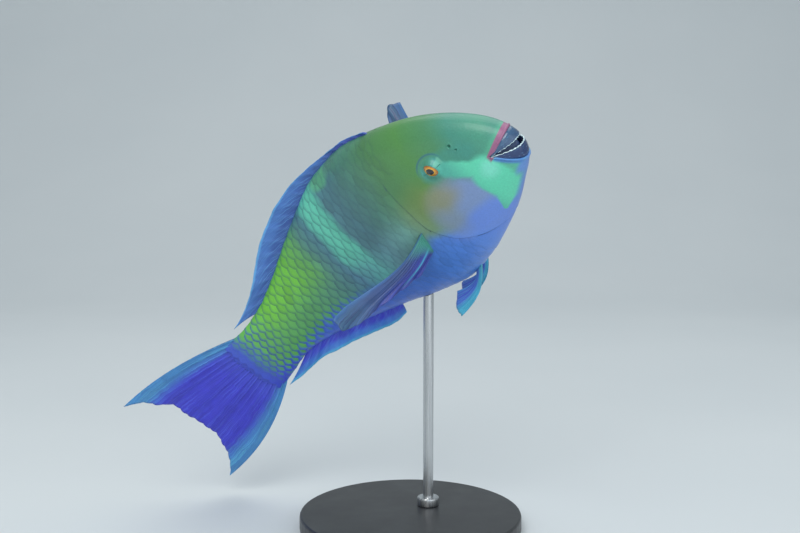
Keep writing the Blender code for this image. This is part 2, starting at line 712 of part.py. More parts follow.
SKIN_FRONT = material("skin front", (0.16, 0.36, 0.26), 0.35)
SKIN_REAR = material("skin rear", (0.20, 0.42, 0.20), 0.35)
SKIN_TAIL = material("skin tail", (0.12, 0.22, 0.45), 0.35)
COVER = material("gill cover", (0.32, 0.36, 0.45), 0.35)
FIN_BLUE = material("fin blue", (0.08, 0.22, 0.60), 0.35)
FIN_VIOLET = material("fin violet", (0.12, 0.12, 0.55), 0.35)
BEAK = material("beak", (0.05, 0.16, 0.24), 0.25)
EYE_GLASS = material("eye", (0.75, 0.30, 0.05), 0.08)
BASE_PAINT = material("base paint", (0.05, 0.05, 0.055), 0.45)
ROD_METAL = material("rod metal", (0.60, 0.60, 0.60), 0.30, 1.0)

head()
beak("upper_beak", UPPER_LIP, UPPER_EDGE, 1)
beak("lower_beak", LOWER_LIP, LOWER_EDGE, -1)
place(new_object("trunk", trunk_mesh("trunk"), fish, SKIN_REAR))
place(new_object("tail_stalk", stalk_mesh("tail_stalk"), fish, SKIN_TAIL))
dorsal_fin()
anal_fin()
caudal_fin()
for fish_side, side_word in ((1, "right"), (-1, "left")):
    eye(fish_side, side_word)
    pelvic_fin(fish_side, side_word)
pectoral_fin(1, "right", SWEPT_WAYS, SWEPT_BOW, 1.0)
pectoral_fin(-1, "left", RAISED_WAYS, RAISED_BOW, RAISED_SHARE)
stand()
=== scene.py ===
import math

import bmesh
import bpy
import numpy as np
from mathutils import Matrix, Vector


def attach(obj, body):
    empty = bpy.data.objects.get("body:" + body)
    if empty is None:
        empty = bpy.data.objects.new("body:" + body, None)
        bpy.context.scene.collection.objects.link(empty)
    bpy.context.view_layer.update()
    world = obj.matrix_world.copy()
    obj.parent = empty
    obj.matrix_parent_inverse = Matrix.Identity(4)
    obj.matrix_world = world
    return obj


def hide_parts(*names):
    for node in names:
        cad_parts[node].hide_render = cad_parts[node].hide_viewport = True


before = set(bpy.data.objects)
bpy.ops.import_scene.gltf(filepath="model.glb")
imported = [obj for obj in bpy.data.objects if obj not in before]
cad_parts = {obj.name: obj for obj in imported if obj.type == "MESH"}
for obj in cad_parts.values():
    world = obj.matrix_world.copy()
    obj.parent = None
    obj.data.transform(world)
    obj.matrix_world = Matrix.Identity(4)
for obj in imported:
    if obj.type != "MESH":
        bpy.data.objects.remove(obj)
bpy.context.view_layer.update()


# Studio: a pale card that runs along the floor and curves up behind the fish, and wide soft
# boxes of light. The camera stands where the photograph was taken from, a little above.
def read(items, field="co", width=3):
    """One field of a mesh's items, as a table with a row for each."""
    flat = np.empty(len(items) * width)
    items.foreach_get(field, flat)
    return flat.reshape(-1, width)


def write(thing, points):
    thing.data.vertices.foreach_set("co", np.asarray(points, float).ravel())
    thing.data.update()


def points_of(x, y, z):
    """Points, or their like, from tables of three parts stretched to one shape."""
    return np.stack(np.broadcast_arrays(x, y, z), -1)


def sheet(name, points):
    """A grid primitive whose rows and columns of points are moved to their places."""
    rows, columns = points.shape[:2]
    bpy.ops.object.select_all(action="DESELECT")
    bpy.ops.mesh.primitive_grid_add(x_subdivisions=columns - 1, y_subdivisions=rows - 1, size=1)
    made = bpy.context.object
    made.name = made.data.name = name
    write(made, points)
    made.data.uv_layers.remove(made.data.uv_layers[0])
    return made


class Wire:
    """The output of a shader node, on which sums add Math nodes."""

    def __init__(self, tree, socket=None):
        self.tree = tree
        self.socket = socket

    def node(self, kind, settings=None, values=None, out=0):
        """Add a shader node with its settings, then the values or wires of its sockets."""
        made = self.tree.nodes.new("ShaderNode" + kind)
        for key, value in (settings or {}).items():
            setattr(made, key, value)
        for key, value in (values or {}).items():
            if isinstance(value, Wire):
                self.tree.links.new(value.socket, made.inputs[key])
            else:
                made.inputs[key].default_value = value
        return Wire(self.tree, made.outputs[out])

    def sum(self, how, *others):
        return self.node("Math", {"operation": how}, dict(enumerate((self, *others))))

    def __rsub__(self, other):
        return self.node("Math", {"operation": "SUBTRACT"}, {0: other, 1: self})

    def between(how):
        return lambda self, other: self.sum(how, other)

    __add__ = __radd__ = between("ADD")
    __mul__ = __rmul__ = between("MULTIPLY")
    __sub__, __truediv__, __pow__ = between("SUBTRACT"), between("DIVIDE"), between("POWER")


def paint(red, green, blue):
    """A colour read off a paint chart, 0 to 255, as light."""
    shares = (value / 255 for value in (red, green, blue))
    return (*(s / 12.92 if s <= 0.04045 else ((s + 0.055) / 1.055) ** 2.4 for s in shares), 1.0)


def finish(name, roughness, coat=0.0, metallic=0.0):
    """A new material, its Principled shader and a wire that starts its nodes."""
    made = bpy.data.materials.new(name)
    made.use_nodes = True
    shader = made.node_tree.nodes["Principled BSDF"]
    for socket, value in {"Roughness": roughness, "Metallic": metallic, "Coat Weight": coat,
                          "Coat Roughness": 0.12}.items():
        shader.inputs[socket].default_value = value
    return made, shader, Wire(made.node_tree)


def feed(shader, socket, wire):
    wire.tree.links.new(wire.socket, shader.inputs[socket])


def bump(shader, strength, distance, height):
    feed(shader, "Normal", height.node("Bump", None, {
        "Strength": strength, "Distance": distance, "Height": height}))


def fade(value, start, end):
    """0 before start, 1 after end and smooth between; start may be the larger."""
    low, high, first, last = (start, end, 0.0, 1.0) if start < end else (end, start, 1.0, 0.0)
    return value.node("MapRange", {"interpolation_type": "SMOOTHSTEP"},
                      {0: value, 1: low, 2: high, 3: first, 4: last})


def blend(share, below, above):
    return share.node("Mix", {"data_type": "RGBA"}, {0: share, 6: below, 7: above}, 2)


def layers(colour, *patches):
    """Lay patches over a colour in turn, each a share and then its red, green and blue."""
    for share, *tint in patches:
        colour = blend(share, colour, paint(*tint))
    return colour


def shade(colour, lit):
    """A colour made lighter or darker by a factor."""
    grey = lit.node("CombineColor", None, {0: lit, 1: lit, 2: lit})
    return lit.node("Mix", {"data_type": "RGBA", "blend_type": "MULTIPLY"}, {0: 1.0, 6: colour, 7: grey}, 2)


def ramp(value, *stops):
    """The colour at a value, between stops of a place with red, green and blue, or with one level."""
    made = value.node("ValToRGB", None, {0: value})
    steps = made.socket.node.color_ramp.elements
    tints = [(place, paint(*tint) if len(tint) == 3 else (*tint * 3, 1.0)) for place, *tint in stops]
    for place, tint in tints[1:-1]:
        steps.new(place).color = tint
    for step, (place, tint) in zip((steps[0], steps[-1]), (tints[0], tints[-1])):
        step.position, step.color = place, tint
    return made


def noise(place, scale, detail):
    """Cloudy noise about nought."""
    return place.node("TexNoise", None, {"Vector": place, "Scale": scale, "Detail": detail}) - 0.5


def kept(start, name):
    """A number that the mesh keeps on its points."""
    return start.node("Attribute", {"attribute_name": name}, None, 2)


def kept_vector(start, name):
    """A vector that the mesh keeps on its points, and then its three parts."""
    made = start.node("Attribute", {"attribute_name": name}, None, 1)
    split = made.node("SeparateXYZ", None, {0: made}).socket.node
    return made, *(Wire(start.tree, socket) for socket in split.outputs)


CARD_HALF, CARD_CURVE = 4.0, 1.3
sweep_turn = np.radians(np.linspace(0, 90, 20))
card_run = np.concatenate([[-2.2, 0.4], 1.2 + CARD_CURVE * np.sin(sweep_turn), [1.2 + CARD_CURVE]])
card_rise = np.concatenate([[0, 0], CARD_CURVE * (1 - np.cos(sweep_turn)), [4.0]])
card = sheet("studio_card", points_of([-CARD_HALF, CARD_HALF], card_run[:, None], card_rise[:, None]))
card.data.shade_smooth()
card_paper, card_shader, card_wire = finish("pale card", 0.9)
card_grain = card_wire.node("TexNoise", None, {"Vector": card_wire.node("TexCoord", out=3), "Scale": 3.0})
feed(card_shader, "Base Color", blend(card_grain, paint(206, 213, 217), paint(214, 220, 223)))
card.data.materials.append(card_paper)

for lamp_name, lamp_place, lamp_size, lamp_power, lamp_tint in (
        ("key", (-0.5, -1.7, 1.7), 1.6, 34, (1.0, 1.0, 0.98)),
        ("fill", (1.6, -1.5, 0.8), 1.8, 10, (0.92, 0.97, 1.0)),
        ("top", (0.0, 0.6, 2.0), 1.8, 14, (1.0, 1.0, 1.0)),
        ("low", (0.3, -1.6, 0.15), 1.2, 4, (0.85, 0.93, 1.0))):
    lamp_data = bpy.data.lights.new(lamp_name, "AREA")
    lamp_data.shape, lamp_data.size = "SQUARE", lamp_size
    lamp_data.energy, lamp_data.color = lamp_power, lamp_tint
    lamp = bpy.data.objects.new(lamp_name, lamp_data)
    lamp.location = lamp_place
    lamp.rotation_euler = (Vector((0, 0, 0.24)) - Vector(lamp_place)).to_track_quat("-Z", "Y").to_euler()
    bpy.context.scene.collection.objects.link(lamp)
air = bpy.data.worlds.new("studio air")
air.use_nodes = True
air.node_tree.nodes["Background"].inputs[0].default_value = (0.8, 0.88, 0.92, 1.0)
air.node_tree.nodes["Background"].inputs[1].default_value = 0.42
bpy.context.scene.world = air
bpy.context.scene.view_settings.view_transform = "Standard"

camera_data = bpy.data.cameras.new("camera")
camera_data.lens, camera_data.sensor_width = 50, 36
camera = bpy.data.objects.new("camera", camera_data)
camera.location = (-0.008, -0.8306, 0.2888)
camera.rotation_euler = (math.radians(84), 0, 0)
bpy.context.scene.collection.objects.link(camera)
bpy.context.scene.camera = camera


# Skin: one unbroken hide from the lips to the root of the tail, drawn over the muscle. It is
# shaped straight, with its gill slits, nostrils, lids and lips, and then bent as it swims.
LENGTH = 0.31
ROUNDNESS = 2.2
SNOUT = 0.0095
STALK_END = 0.985
STATION = (0.009, 0.022, 0.04, 0.08, 0.13, 0.2, 0.3, 0.4, 0.5, 0.6, 0.7, 0.8, 0.88, 0.95, 1.0)
BACK = (0.0, 0.043, 0.071, 0.112, 0.149, 0.186, 0.219, 0.24, 0.228, 0.196, 0.157, 0.115, 0.089, 0.08, 0.084)
BELLY = (0.0, 0.046, 0.063, 0.089, 0.12, 0.152, 0.186, 0.203, 0.195, 0.17, 0.138, 0.103, 0.087, 0.099, 0.106)
HALF = (0.0, 0.027, 0.038, 0.051, 0.061, 0.072, 0.081, 0.083, 0.078, 0.068, 0.054, 0.04, 0.029, 0.02, 0.012)
EDGE_ANGLE = (-90.0, -66.0, -45.0, -24.0, -6.0, 18.0, 42.0, 66.0, 90.0)
EDGE_X = (0.155, 0.185, 0.24, 0.298, 0.322, 0.322, 0.305, 0.286, 0.28)
HEADING_X = (0.28, 0.45, 0.65, 0.85, 1.05, 1.4)
HEADING = (0.0, 5.0, 23.0, 34.0, 30.0, 28.0)
RISE_X = (0.4, 0.6, 0.8, 1.4)
RISE = (0.0, 0.012, 0.013, 0.012)
TWIST = -10.4
TWIST_X = (0.35, 1.0)
HEAD_WAY = (0.567, -0.662, 0.489)
BACK_WAY = (-0.727, -0.124, 0.675)
HOLD_X = 0.45
HOLD_POINT = (-0.008, -0.003, 0.232)


def smooth(stations, values, x):
    """Monotone curve through the stations, read at x."""
    xs, ys = np.asarray(stations, float), np.asarray(values, float)
    step, slope = np.diff(xs), np.diff(ys) / np.diff(xs)
    tangent = np.zeros_like(ys)
    same = slope[:-1] * slope[1:] > 0
    a, b = 2 * step[1:] + step[:-1], step[1:] + 2 * step[:-1]
    safe = np.where(slope == 0, 1.0, slope)
    tangent[1:-1] = np.where(same, (a + b) / (a / safe[:-1] + b / safe[1:]), 0)
    tangent[0], tangent[-1] = slope[0], slope[-1]
    i = np.clip(np.searchsorted(xs, x) - 1, 0, len(step) - 1)
    t = np.clip((x - xs[i]) / step[i], 0, 1)
    return (ys[i] * (1 + 2 * t) * (1 - t) ** 2 + step[i] * tangent[i] * t * (1 - t) ** 2
            + ys[i + 1] * t * t * (3 - 2 * t) - step[i] * tangent[i + 1] * t * t * (1 - t))


def profile(values, x):
    """One of the body's profiles at shares x, blunt at the snout."""
    run = np.sqrt(np.maximum(x - STATION[0], 0))
    return smooth(np.sqrt(np.array(STATION) - STATION[0]), values, run)


def section(x):
    """Centre height, half height and half width of the body at share x, in metres."""
    top, bottom = profile(BACK, x), -profile(BELLY, x)
    return (top + bottom) / 2 * LENGTH, (top - bottom) / 2 * LENGTH, profile(HALF, x) * LENGTH


def surface(x, angle, lift=0.0):
    """Point of the straight body at share x and an angle, 0 at the right side, up positive."""
    centre, high, wide = section(x)
    cos, sin = np.cos(angle), np.sin(angle)
    y = (wide + lift) * np.sign(cos) * np.abs(cos) ** (2 / ROUNDNESS)
    z = centre + (high + lift) * np.sign(sin) * np.abs(sin) ** (2 / ROUNDNESS)
    return points_of(x * LENGTH, y, z)


def flank(x, height):
    """Distance of the flank from the middle plane, at shares x and height."""
    centre, high, wide = section(x)
    up = np.clip(np.abs((height * LENGTH - centre) / high), 0, 1)
    return wide * (1 - up ** ROUNDNESS) ** (1 / ROUNDNESS)


def spine(x):
    """Place of the bent axis at shares x, and its heading there, in the fish's own plane."""
    table = np.linspace(-0.1, 1.6, 341)
    way = np.radians(smooth(HEADING_X, HEADING, table))
    middle = (way[1:] + way[:-1]) / 2
    run = np.diff(table)
    along = table[0] + np.append(0, np.cumsum(np.cos(middle) * run))
    aside = np.append(0, np.cumsum(np.sin(middle) * run))
    return np.interp(x, table, along), np.interp(x, table, aside), np.interp(x, table, way)


def bend(points):
    """Bend straight points along the swimming spine and set them on the stand."""
    p = points / LENGTH
    x = p[:, 0]
    share = np.clip((x - TWIST_X[0]) / (TWIST_X[1] - TWIST_X[0]), 0, 1)
    twist = math.radians(TWIST) * share * share * (3 - 2 * share)
    y = p[:, 1] * np.cos(twist) - p[:, 2] * np.sin(twist)
    z = p[:, 1] * np.sin(twist) + p[:, 2] * np.cos(twist) + smooth(RISE_X, RISE, x)
    along, aside, way = spine(x)
    back = along - np.sin(way) * y - HOLD_X
    right = aside + np.cos(way) * y
    forward = Vector(HEAD_WAY).normalized()
    left = Vector(BACK_WAY).cross(forward).normalized()
    turn = np.array([-forward, -left, forward.cross(left)])
    return points_of(back, right, z) @ turn * LENGTH + np.array(HOLD_POINT)


def mark(thing, name, values):
    """Keep a number or a vector on each point, for the materials to read."""
    kind, field = ("FLOAT_VECTOR", "vector") if values.shape[-1] == 3 else ("FLOAT", "value")
    thing.data.attributes.new(name, kind, "POINT").data.foreach_set(field, values.ravel())


def swim(thing):
    """Bend a straight piece into the swimming turn."""
    write(thing, bend(read(thing.data.vertices)))
    thing.data.shade_smooth()


# The way round each section is measured, so that a share of it gives an angle.
GIRTH_STEPS = 80
GIRTH_X = np.linspace(0, 1, GIRTH_STEPS + 1)
quarter = np.linspace(0, math.pi / 2, 400)
girth_half, girth_wide = section(np.maximum(GIRTH_X, SNOUT))[1:]
girth_y = girth_wide[:, None] * np.cos(quarter) ** (2 / ROUNDNESS)
girth_z = girth_half[:, None] * np.sin(quarter) ** (2 / ROUNDNESS)
girth_run = np.cumsum(np.hypot(np.diff(girth_y), np.diff(girth_z)), 1)
girth_run = np.pad(girth_run, ((0, 0), (1, 0)))
GIRTH = girth_run[:, -1] / LENGTH
girth_turn = np.array([np.interp(GIRTH_X, run / run[-1], quarter) for run in girth_run])


def turn_at(x, share):
    """Angle round the section at x which lies a share of the way to the back, or down to the belly."""
    row, column = np.clip(x, 0, 1) * GIRTH_STEPS, np.clip(np.abs(share), 0, 1) * GIRTH_STEPS
    i, j = (np.minimum(place.astype(int), GIRTH_STEPS - 1) for place in (row, column))
    u, v = row - i, column - j
    angle = ((girth_turn[i, j] * (1 - v) + girth_turn[i, j + 1] * v) * (1 - u)
             + (girth_turn[i + 1, j] * (1 - v) + girth_turn[i + 1, j + 1] * v) * u)
    return angle * np.sign(share)


def gill_edge(share):
    """Share of LENGTH at which the gill opening lies, for shares of the way round."""
    return smooth(EDGE_ANGLE, EDGE_X, np.degrees(turn_at(0.3, share)))


def outward(points):
    """Unit normals of the straight body at points on or near it."""
    def level(p):
        centre, high, wide = section(np.maximum(p[:, 0] / LENGTH, STATION[0] + 0.0002))
        return (np.abs(p[:, 1] / wide) ** ROUNDNESS
                + np.abs((p[:, 2] - centre) / high) ** ROUNDNESS) ** (1 / ROUNDNESS)

    steps = np.eye(3) * 0.0002
    way = np.stack([level(points + step) - level(points - step) for step in steps], 1)
    return way / np.linalg.norm(way, axis=1)[:, None]


# The hide's rows lie close together at the gill opening and end in a blade inside the tail fin.
# SLIT and RISE_MM go by the mm behind the gill cover's edge. SLIT marks where the gill slit is painted dark,
# a painted shade in its groove.
ROUND = 208
HEAD_ROWS, EDGE_ROWS, TRUNK_ROWS = 128, 26, 132
HEAD_PART, TRUNK_PART = 0.93, 0.03
HIDE_IN = 0.0005
TAIL_BLEND = np.array([0.004, 0.01, 0.018, 0.028, 0.038, 0.048, 0.0485])
TAIL_THIN = np.array([0.97, 0.86, 0.66, 0.43, 0.22, 0.06, 0.0])
SLIT = ((-0.8, -0.2, 0.8, 1.9), (0, 1, 1, 0))
RISE_MM = ((-14, -7, -2.5, -0.8, -0.3, -0.05, 0.05, 0.3, 0.8, 1.8, 4),
           (0, 0.15, 0.5, 0.62, 0.5, 0.1, -0.9, -1.1, -0.8, -0.2, 0))
head_share = np.concatenate([np.linspace(0, 1, HEAD_ROWS) ** 1.5 * HEAD_PART,
                             1 - (1 - HEAD_PART) * np.linspace(1, 0, EDGE_ROWS + 1)[1:] ** 1.8])
trunk_share = np.concatenate([TRUNK_PART * np.linspace(0, 1, EDGE_ROWS)[1:] ** 1.8,
                              TRUNK_PART + (1 - TRUNK_PART) * np.linspace(0, 1, TRUNK_ROWS)[1:]])
way_up = np.linspace(-1, 1, ROUND // 2 + 1)
way_round = np.concatenate([way_up, way_up[-2::-1]])
hide_edge = gill_edge(way_round)
hide_x = np.concatenate([SNOUT + (hide_edge - SNOUT) * head_share[:, None],
                         hide_edge + (STALK_END - hide_edge) * trunk_share[:, None]])
hide_points = surface(hide_x, turn_at(hide_x, way_round), -HIDE_IN)
hide_points[:, len(way_up):, 1] *= -1
tail_rows = np.repeat(hide_points[-1][None], len(TAIL_BLEND), 0)
tail_rows[..., 0] += TAIL_BLEND[:, None] * LENGTH * (1 - 0.35 * np.abs(way_round) ** 4)
tail_rows[..., 1] *= TAIL_THIN[:, None]
tail_rows[-1, :, 2] = tail_rows[-1, :, 2].mean()
tail_rows[-1, :, 0] = tail_rows[-2, :, 0].mean() - 0.001
hide_points = np.concatenate([hide_points, tail_rows])
hide_points[0] = hide_points[0].mean(0)
hide_points[:, -1] = hide_points[:, 0]
skin = sheet("skin", hide_points)
edge_gap = (hide_x - hide_edge) * LENGTH * 1000
# The slit mark is painted shade: it darkens the hide in the groove of the gill slit.
gill_strength = np.interp(way_round, (-1, -0.94, -0.8, 0.2, 0.45), (0, 0.5, 1, 1, 0))
for mark_name, table, strength in (("slit", SLIT, gill_strength), ("rise", RISE_MM, gill_strength * 0.001)):
    near_gill = np.zeros(hide_points.shape[:2])
    near_gill[:len(hide_x)] = np.interp(edge_gap, *table) * strength
    mark(skin, mark_name, near_gill)

EYE = (0.19, 0.073)
EYE_RADIUS = 0.0078
EYE_BULGE = 0.0026
SOCKET_RADIUS = 0.0082
LID_LONG, LID_SHORT, LID_TILT = 0.0054, 0.004, math.radians(58)
LID_DEEPEST = 0.003
LID = ((0.15, 0.0001), (0.35, 0.0004), (0.6, 0.0007), (0.8, 0.0007), (0.92, 0.0005), (1.0, 0.0002),
       (1.03, -0.0006), (1.0, -0.002))
NOSTRILS = ((0.114, 0.07, 0.0008), (0.122, 0.085, 0.0012))
NOSTRIL_RISE = ((0, 0.55, 0.95, 1.3, 2.2, 3.0), (-0.0018, -0.0014, 0.0002, 0.0004, 0.0001, 0))
MOUTH_CORNER = (0.073, 0.0105)
UPPER_LIP = (0.0157, 0.0301)
LOWER_LIP = (0.0293, -0.0541)


def choose(test, kind="FACE"):
    """In edit mode, select only the skin's faces or edges whose middles pass the test."""
    bpy.ops.mesh.select_mode(type=kind)
    bpy.ops.mesh.select_all(action="DESELECT")
    bm = bmesh.from_edit_mesh(skin.data)
    bm.select_mode = {kind}
    for item in (bm.faces if kind == "FACE" else bm.edges):
        middle = item.calc_center_median() if kind == "FACE" else (item.verts[0].co + item.verts[1].co) / 2
        if test(middle, item):
            item.select_set(True)
    bm.select_flush_mode()
    bmesh.update_edit_mesh(skin.data)


def extrude(place):
    """In edit mode, extrude the skin's selected edges and put each new point where place says."""
    bpy.ops.mesh.extrude_region()
    bm = bmesh.from_edit_mesh(skin.data)
    for vertex in bm.verts:
        if vertex.select:
            vertex.co = place(vertex.co)
    bmesh.update_edit_mesh(skin.data)


def gap_to(middle, co):
    """Distance of two points as seen from the side."""
    return math.hypot(co.x - middle.x, co.z - middle.z)


def hide_out(x, z):
    """Distance of the hide from the middle plane, in metres."""
    return flank(x / LENGTH, z / LENGTH) - HIDE_IN


def eye_middle(side):
    out = flank(*EYE) - EYE_RADIUS + EYE_BULGE
    return Vector((EYE[0] * LENGTH, side * out, EYE[1] * LENGTH))


def lid_point(co, middle, side, share, rise):
    """A lid's point, a share of the way from the socket's rim to the opening, over the eyeball."""
    turn = math.atan2(co.z - middle.z, co.x - middle.x)
    oval = 1 / math.hypot(math.cos(turn - LID_TILT) / LID_LONG, math.sin(turn - LID_TILT) / LID_SHORT)
    far = SOCKET_RADIUS + (oval - SOCKET_RADIUS) * share
    x, z = middle.x + math.cos(turn) * far, middle.z + math.sin(turn) * far
    ball = middle.y * side + math.sqrt(EYE_RADIUS ** 2 - min(far, EYE_RADIUS) ** 2)
    hide = hide_out(x, z)
    return x, side * (max(hide, min(ball, hide + LID_DEEPEST)) + rise), z


bpy.ops.object.mode_set(mode="EDIT")
bpy.ops.mesh.select_all(action="SELECT")
bpy.ops.mesh.remove_doubles(threshold=0.000002)
bpy.ops.mesh.normals_make_consistent(inside=False)
choose(lambda m, f: 0.075 * LENGTH < m.x < 0.25 * LENGTH and 0.03 * LENGTH < m.z < 0.115 * LENGTH
       and abs(m.y) > 0.008)
bpy.ops.mesh.subdivide(number_cuts=1)
bpy.ops.object.mode_set(mode="OBJECT")

flat_points = read(skin.data.vertices)
rise = read(skin.data.attributes["rise"].data, "value", 1)[:, 0]
for nostril_x, nostril_z, nostril_radius in NOSTRILS:
    reach = np.hypot(flat_points[:, 0] - nostril_x * LENGTH, flat_points[:, 2] - nostril_z * LENGTH)
    rise += np.interp(reach / nostril_radius, *NOSTRIL_RISE)
write(skin, flat_points + outward(flat_points) * rise[:, None])
mark(skin, "straight", flat_points / LENGTH)

# The mouth is cut open by two planes through its corners, one for each lip.
MOUTH_REACH = 0.12 * LENGTH
CLEAR = 0.0000005
bpy.ops.object.mode_set(mode="EDIT")
corner_point = (MOUTH_CORNER[0] * LENGTH, 0, MOUTH_CORNER[1] * LENGTH)
choose(lambda m, f: m.x < MOUTH_REACH)
bpy.ops.mesh.bisect(plane_co=corner_point, plane_no=(0, 0, 1))
for lip_front, lip_sign in ((UPPER_LIP, 1), (LOWER_LIP, -1)):
    way_x, way_z = lip_front[0] - MOUTH_CORNER[0], lip_front[1] - MOUTH_CORNER[1]
    across = Vector((-way_z * lip_sign, 0, way_x * lip_sign)).normalized()
    choose(lambda m, f: m.x < MOUTH_REACH and (m.z - corner_point[2]) * lip_sign > 0)
    bpy.ops.mesh.bisect(plane_co=corner_point, plane_no=across)
    choose(lambda m, f: m.x < MOUTH_REACH and (m.z - corner_point[2]) * lip_sign > 0
           and (m - Vector(corner_point)).dot(across) > CLEAR)
    bpy.ops.mesh.delete(type="FACE")
for side in (1, -1):
    middle = eye_middle(side)
    choose(lambda m, f: m.y * side > 0 and gap_to(middle, m) < SOCKET_RADIUS)
    bpy.ops.mesh.delete(type="FACE")
    bm = bmesh.from_edit_mesh(skin.data)
    for vertex in bm.verts:
        gap = gap_to(middle, vertex.co)
        if vertex.is_boundary and vertex.co.y * side > 0 and gap < SOCKET_RADIUS * 1.4:
            new_x = middle.x + (vertex.co.x - middle.x) * SOCKET_RADIUS / gap
            new_z = middle.z + (vertex.co.z - middle.z) * SOCKET_RADIUS / gap
            vertex.co = (new_x, side * hide_out(new_x, new_z), new_z)
    bmesh.update_edit_mesh(skin.data)
    choose(lambda m, e: e.is_boundary and m.y * side > 0 and gap_to(middle, m) < SOCKET_RADIUS * 1.1, "EDGE")
    for lid_share, lid_rise in LID:
        extrude(lambda co: lid_point(co, middle, side, lid_share, lid_rise))
bpy.ops.object.mode_set(mode="OBJECT")

# The lips roll forward out of the hide and back in over the beak, down to the throat, which is painted dark
# navy as painted shade.
LIP_ROLL = ((0.35, 0.4), (0.9, 0.7), (1.5, 0.6), (1.95, 0.15), (2.0, -0.5), (1.6, -1.6), (0.4, -3.0))
LIP_REACH = 0.085
THROAT = Vector((0.019 * LENGTH, 0, -0.005 * LENGTH))


def key(co):
    return tuple(round(c, 9) for c in co)


def roll(co, ahead, out):
    """The next place of a lip's point, which keeps the number of the point that it began from."""
    i = number[key(co)]
    place = Vector(lip_start[i] + (lip_forward[i] * ahead + lip_normal[i] * out) * lip_fullness[i])
    number[key(place)] = i
    return place


bpy.ops.object.mode_set(mode="EDIT")
choose(lambda m, e: e.is_boundary and m.x < LIP_REACH * LENGTH, "EDGE")
lip_base = {key(v.co): list(v.co) for v in bmesh.from_edit_mesh(skin.data).verts if v.select}
number = {place: i for i, place in enumerate(lip_base)}
lip_start = np.array(list(lip_base.values()))
lip_normal = outward(lip_start)
gap_x, gap_z = lip_start[:, 0] - corner_point[0], lip_start[:, 2] - corner_point[2]
lip_far = np.hypot(gap_x, gap_z)
lip_forward = points_of(-np.abs(gap_z), 0, gap_x * np.where(gap_z >= 0, 1.0, -1.0))
lip_forward /= np.maximum(lip_far, 1e-6)[:, None]
near_corner = np.clip(lip_far / 0.006, 0, 1)[:, None]
lip_forward = lip_forward * near_corner + np.array([-1.0, 0, 0]) * (1 - near_corner)
lip_fullness = (0.55 + 0.45 * near_corner) * 0.001
for ahead, out in LIP_ROLL:
    extrude(lambda co: roll(co, ahead, out))
for throat_share in (0.35, 0.75):
    extrude(lambda co: co.lerp(THROAT, throat_share))
bpy.ops.mesh.extrude_region()
bpy.ops.mesh.merge(type="CENTER")
bpy.ops.object.mode_set(mode="OBJECT")


def spot(x, z, middle_x, middle_z, reach_x, reach_z, soft=0.35):
    """1 in the middle of an oval patch and 0 beyond it."""
    far = (((x - middle_x) / reach_x) ** 2.0 + ((z - middle_z) / reach_z) ** 2.0) ** 0.5
    return fade(far, 1 + soft, 1 - soft)


def capsule(x, z, first, last, half, soft=0.35, taper=0.0):
    """1 along a straight streak between two points, which narrows by taper, and 0 beyond it."""
    run_x, run_z = last[0] - first[0], last[1] - first[1]
    long = run_x * run_x + run_z * run_z
    along = ((x - first[0]) * run_x + (z - first[1]) * run_z) / long
    along = along.node("Clamp", None, {0: along})
    far = ((x - first[0] - along * run_x) ** 2.0 + (z - first[1] - along * run_z) ** 2.0) ** 0.5
    return fade(far / ((1.0 - along * taper) * half), 1 + soft, 1 - soft)


def stripe(value, start, end, soft):
    return fade(value, start - soft, start + soft) * fade(value, end + soft, end - soft)


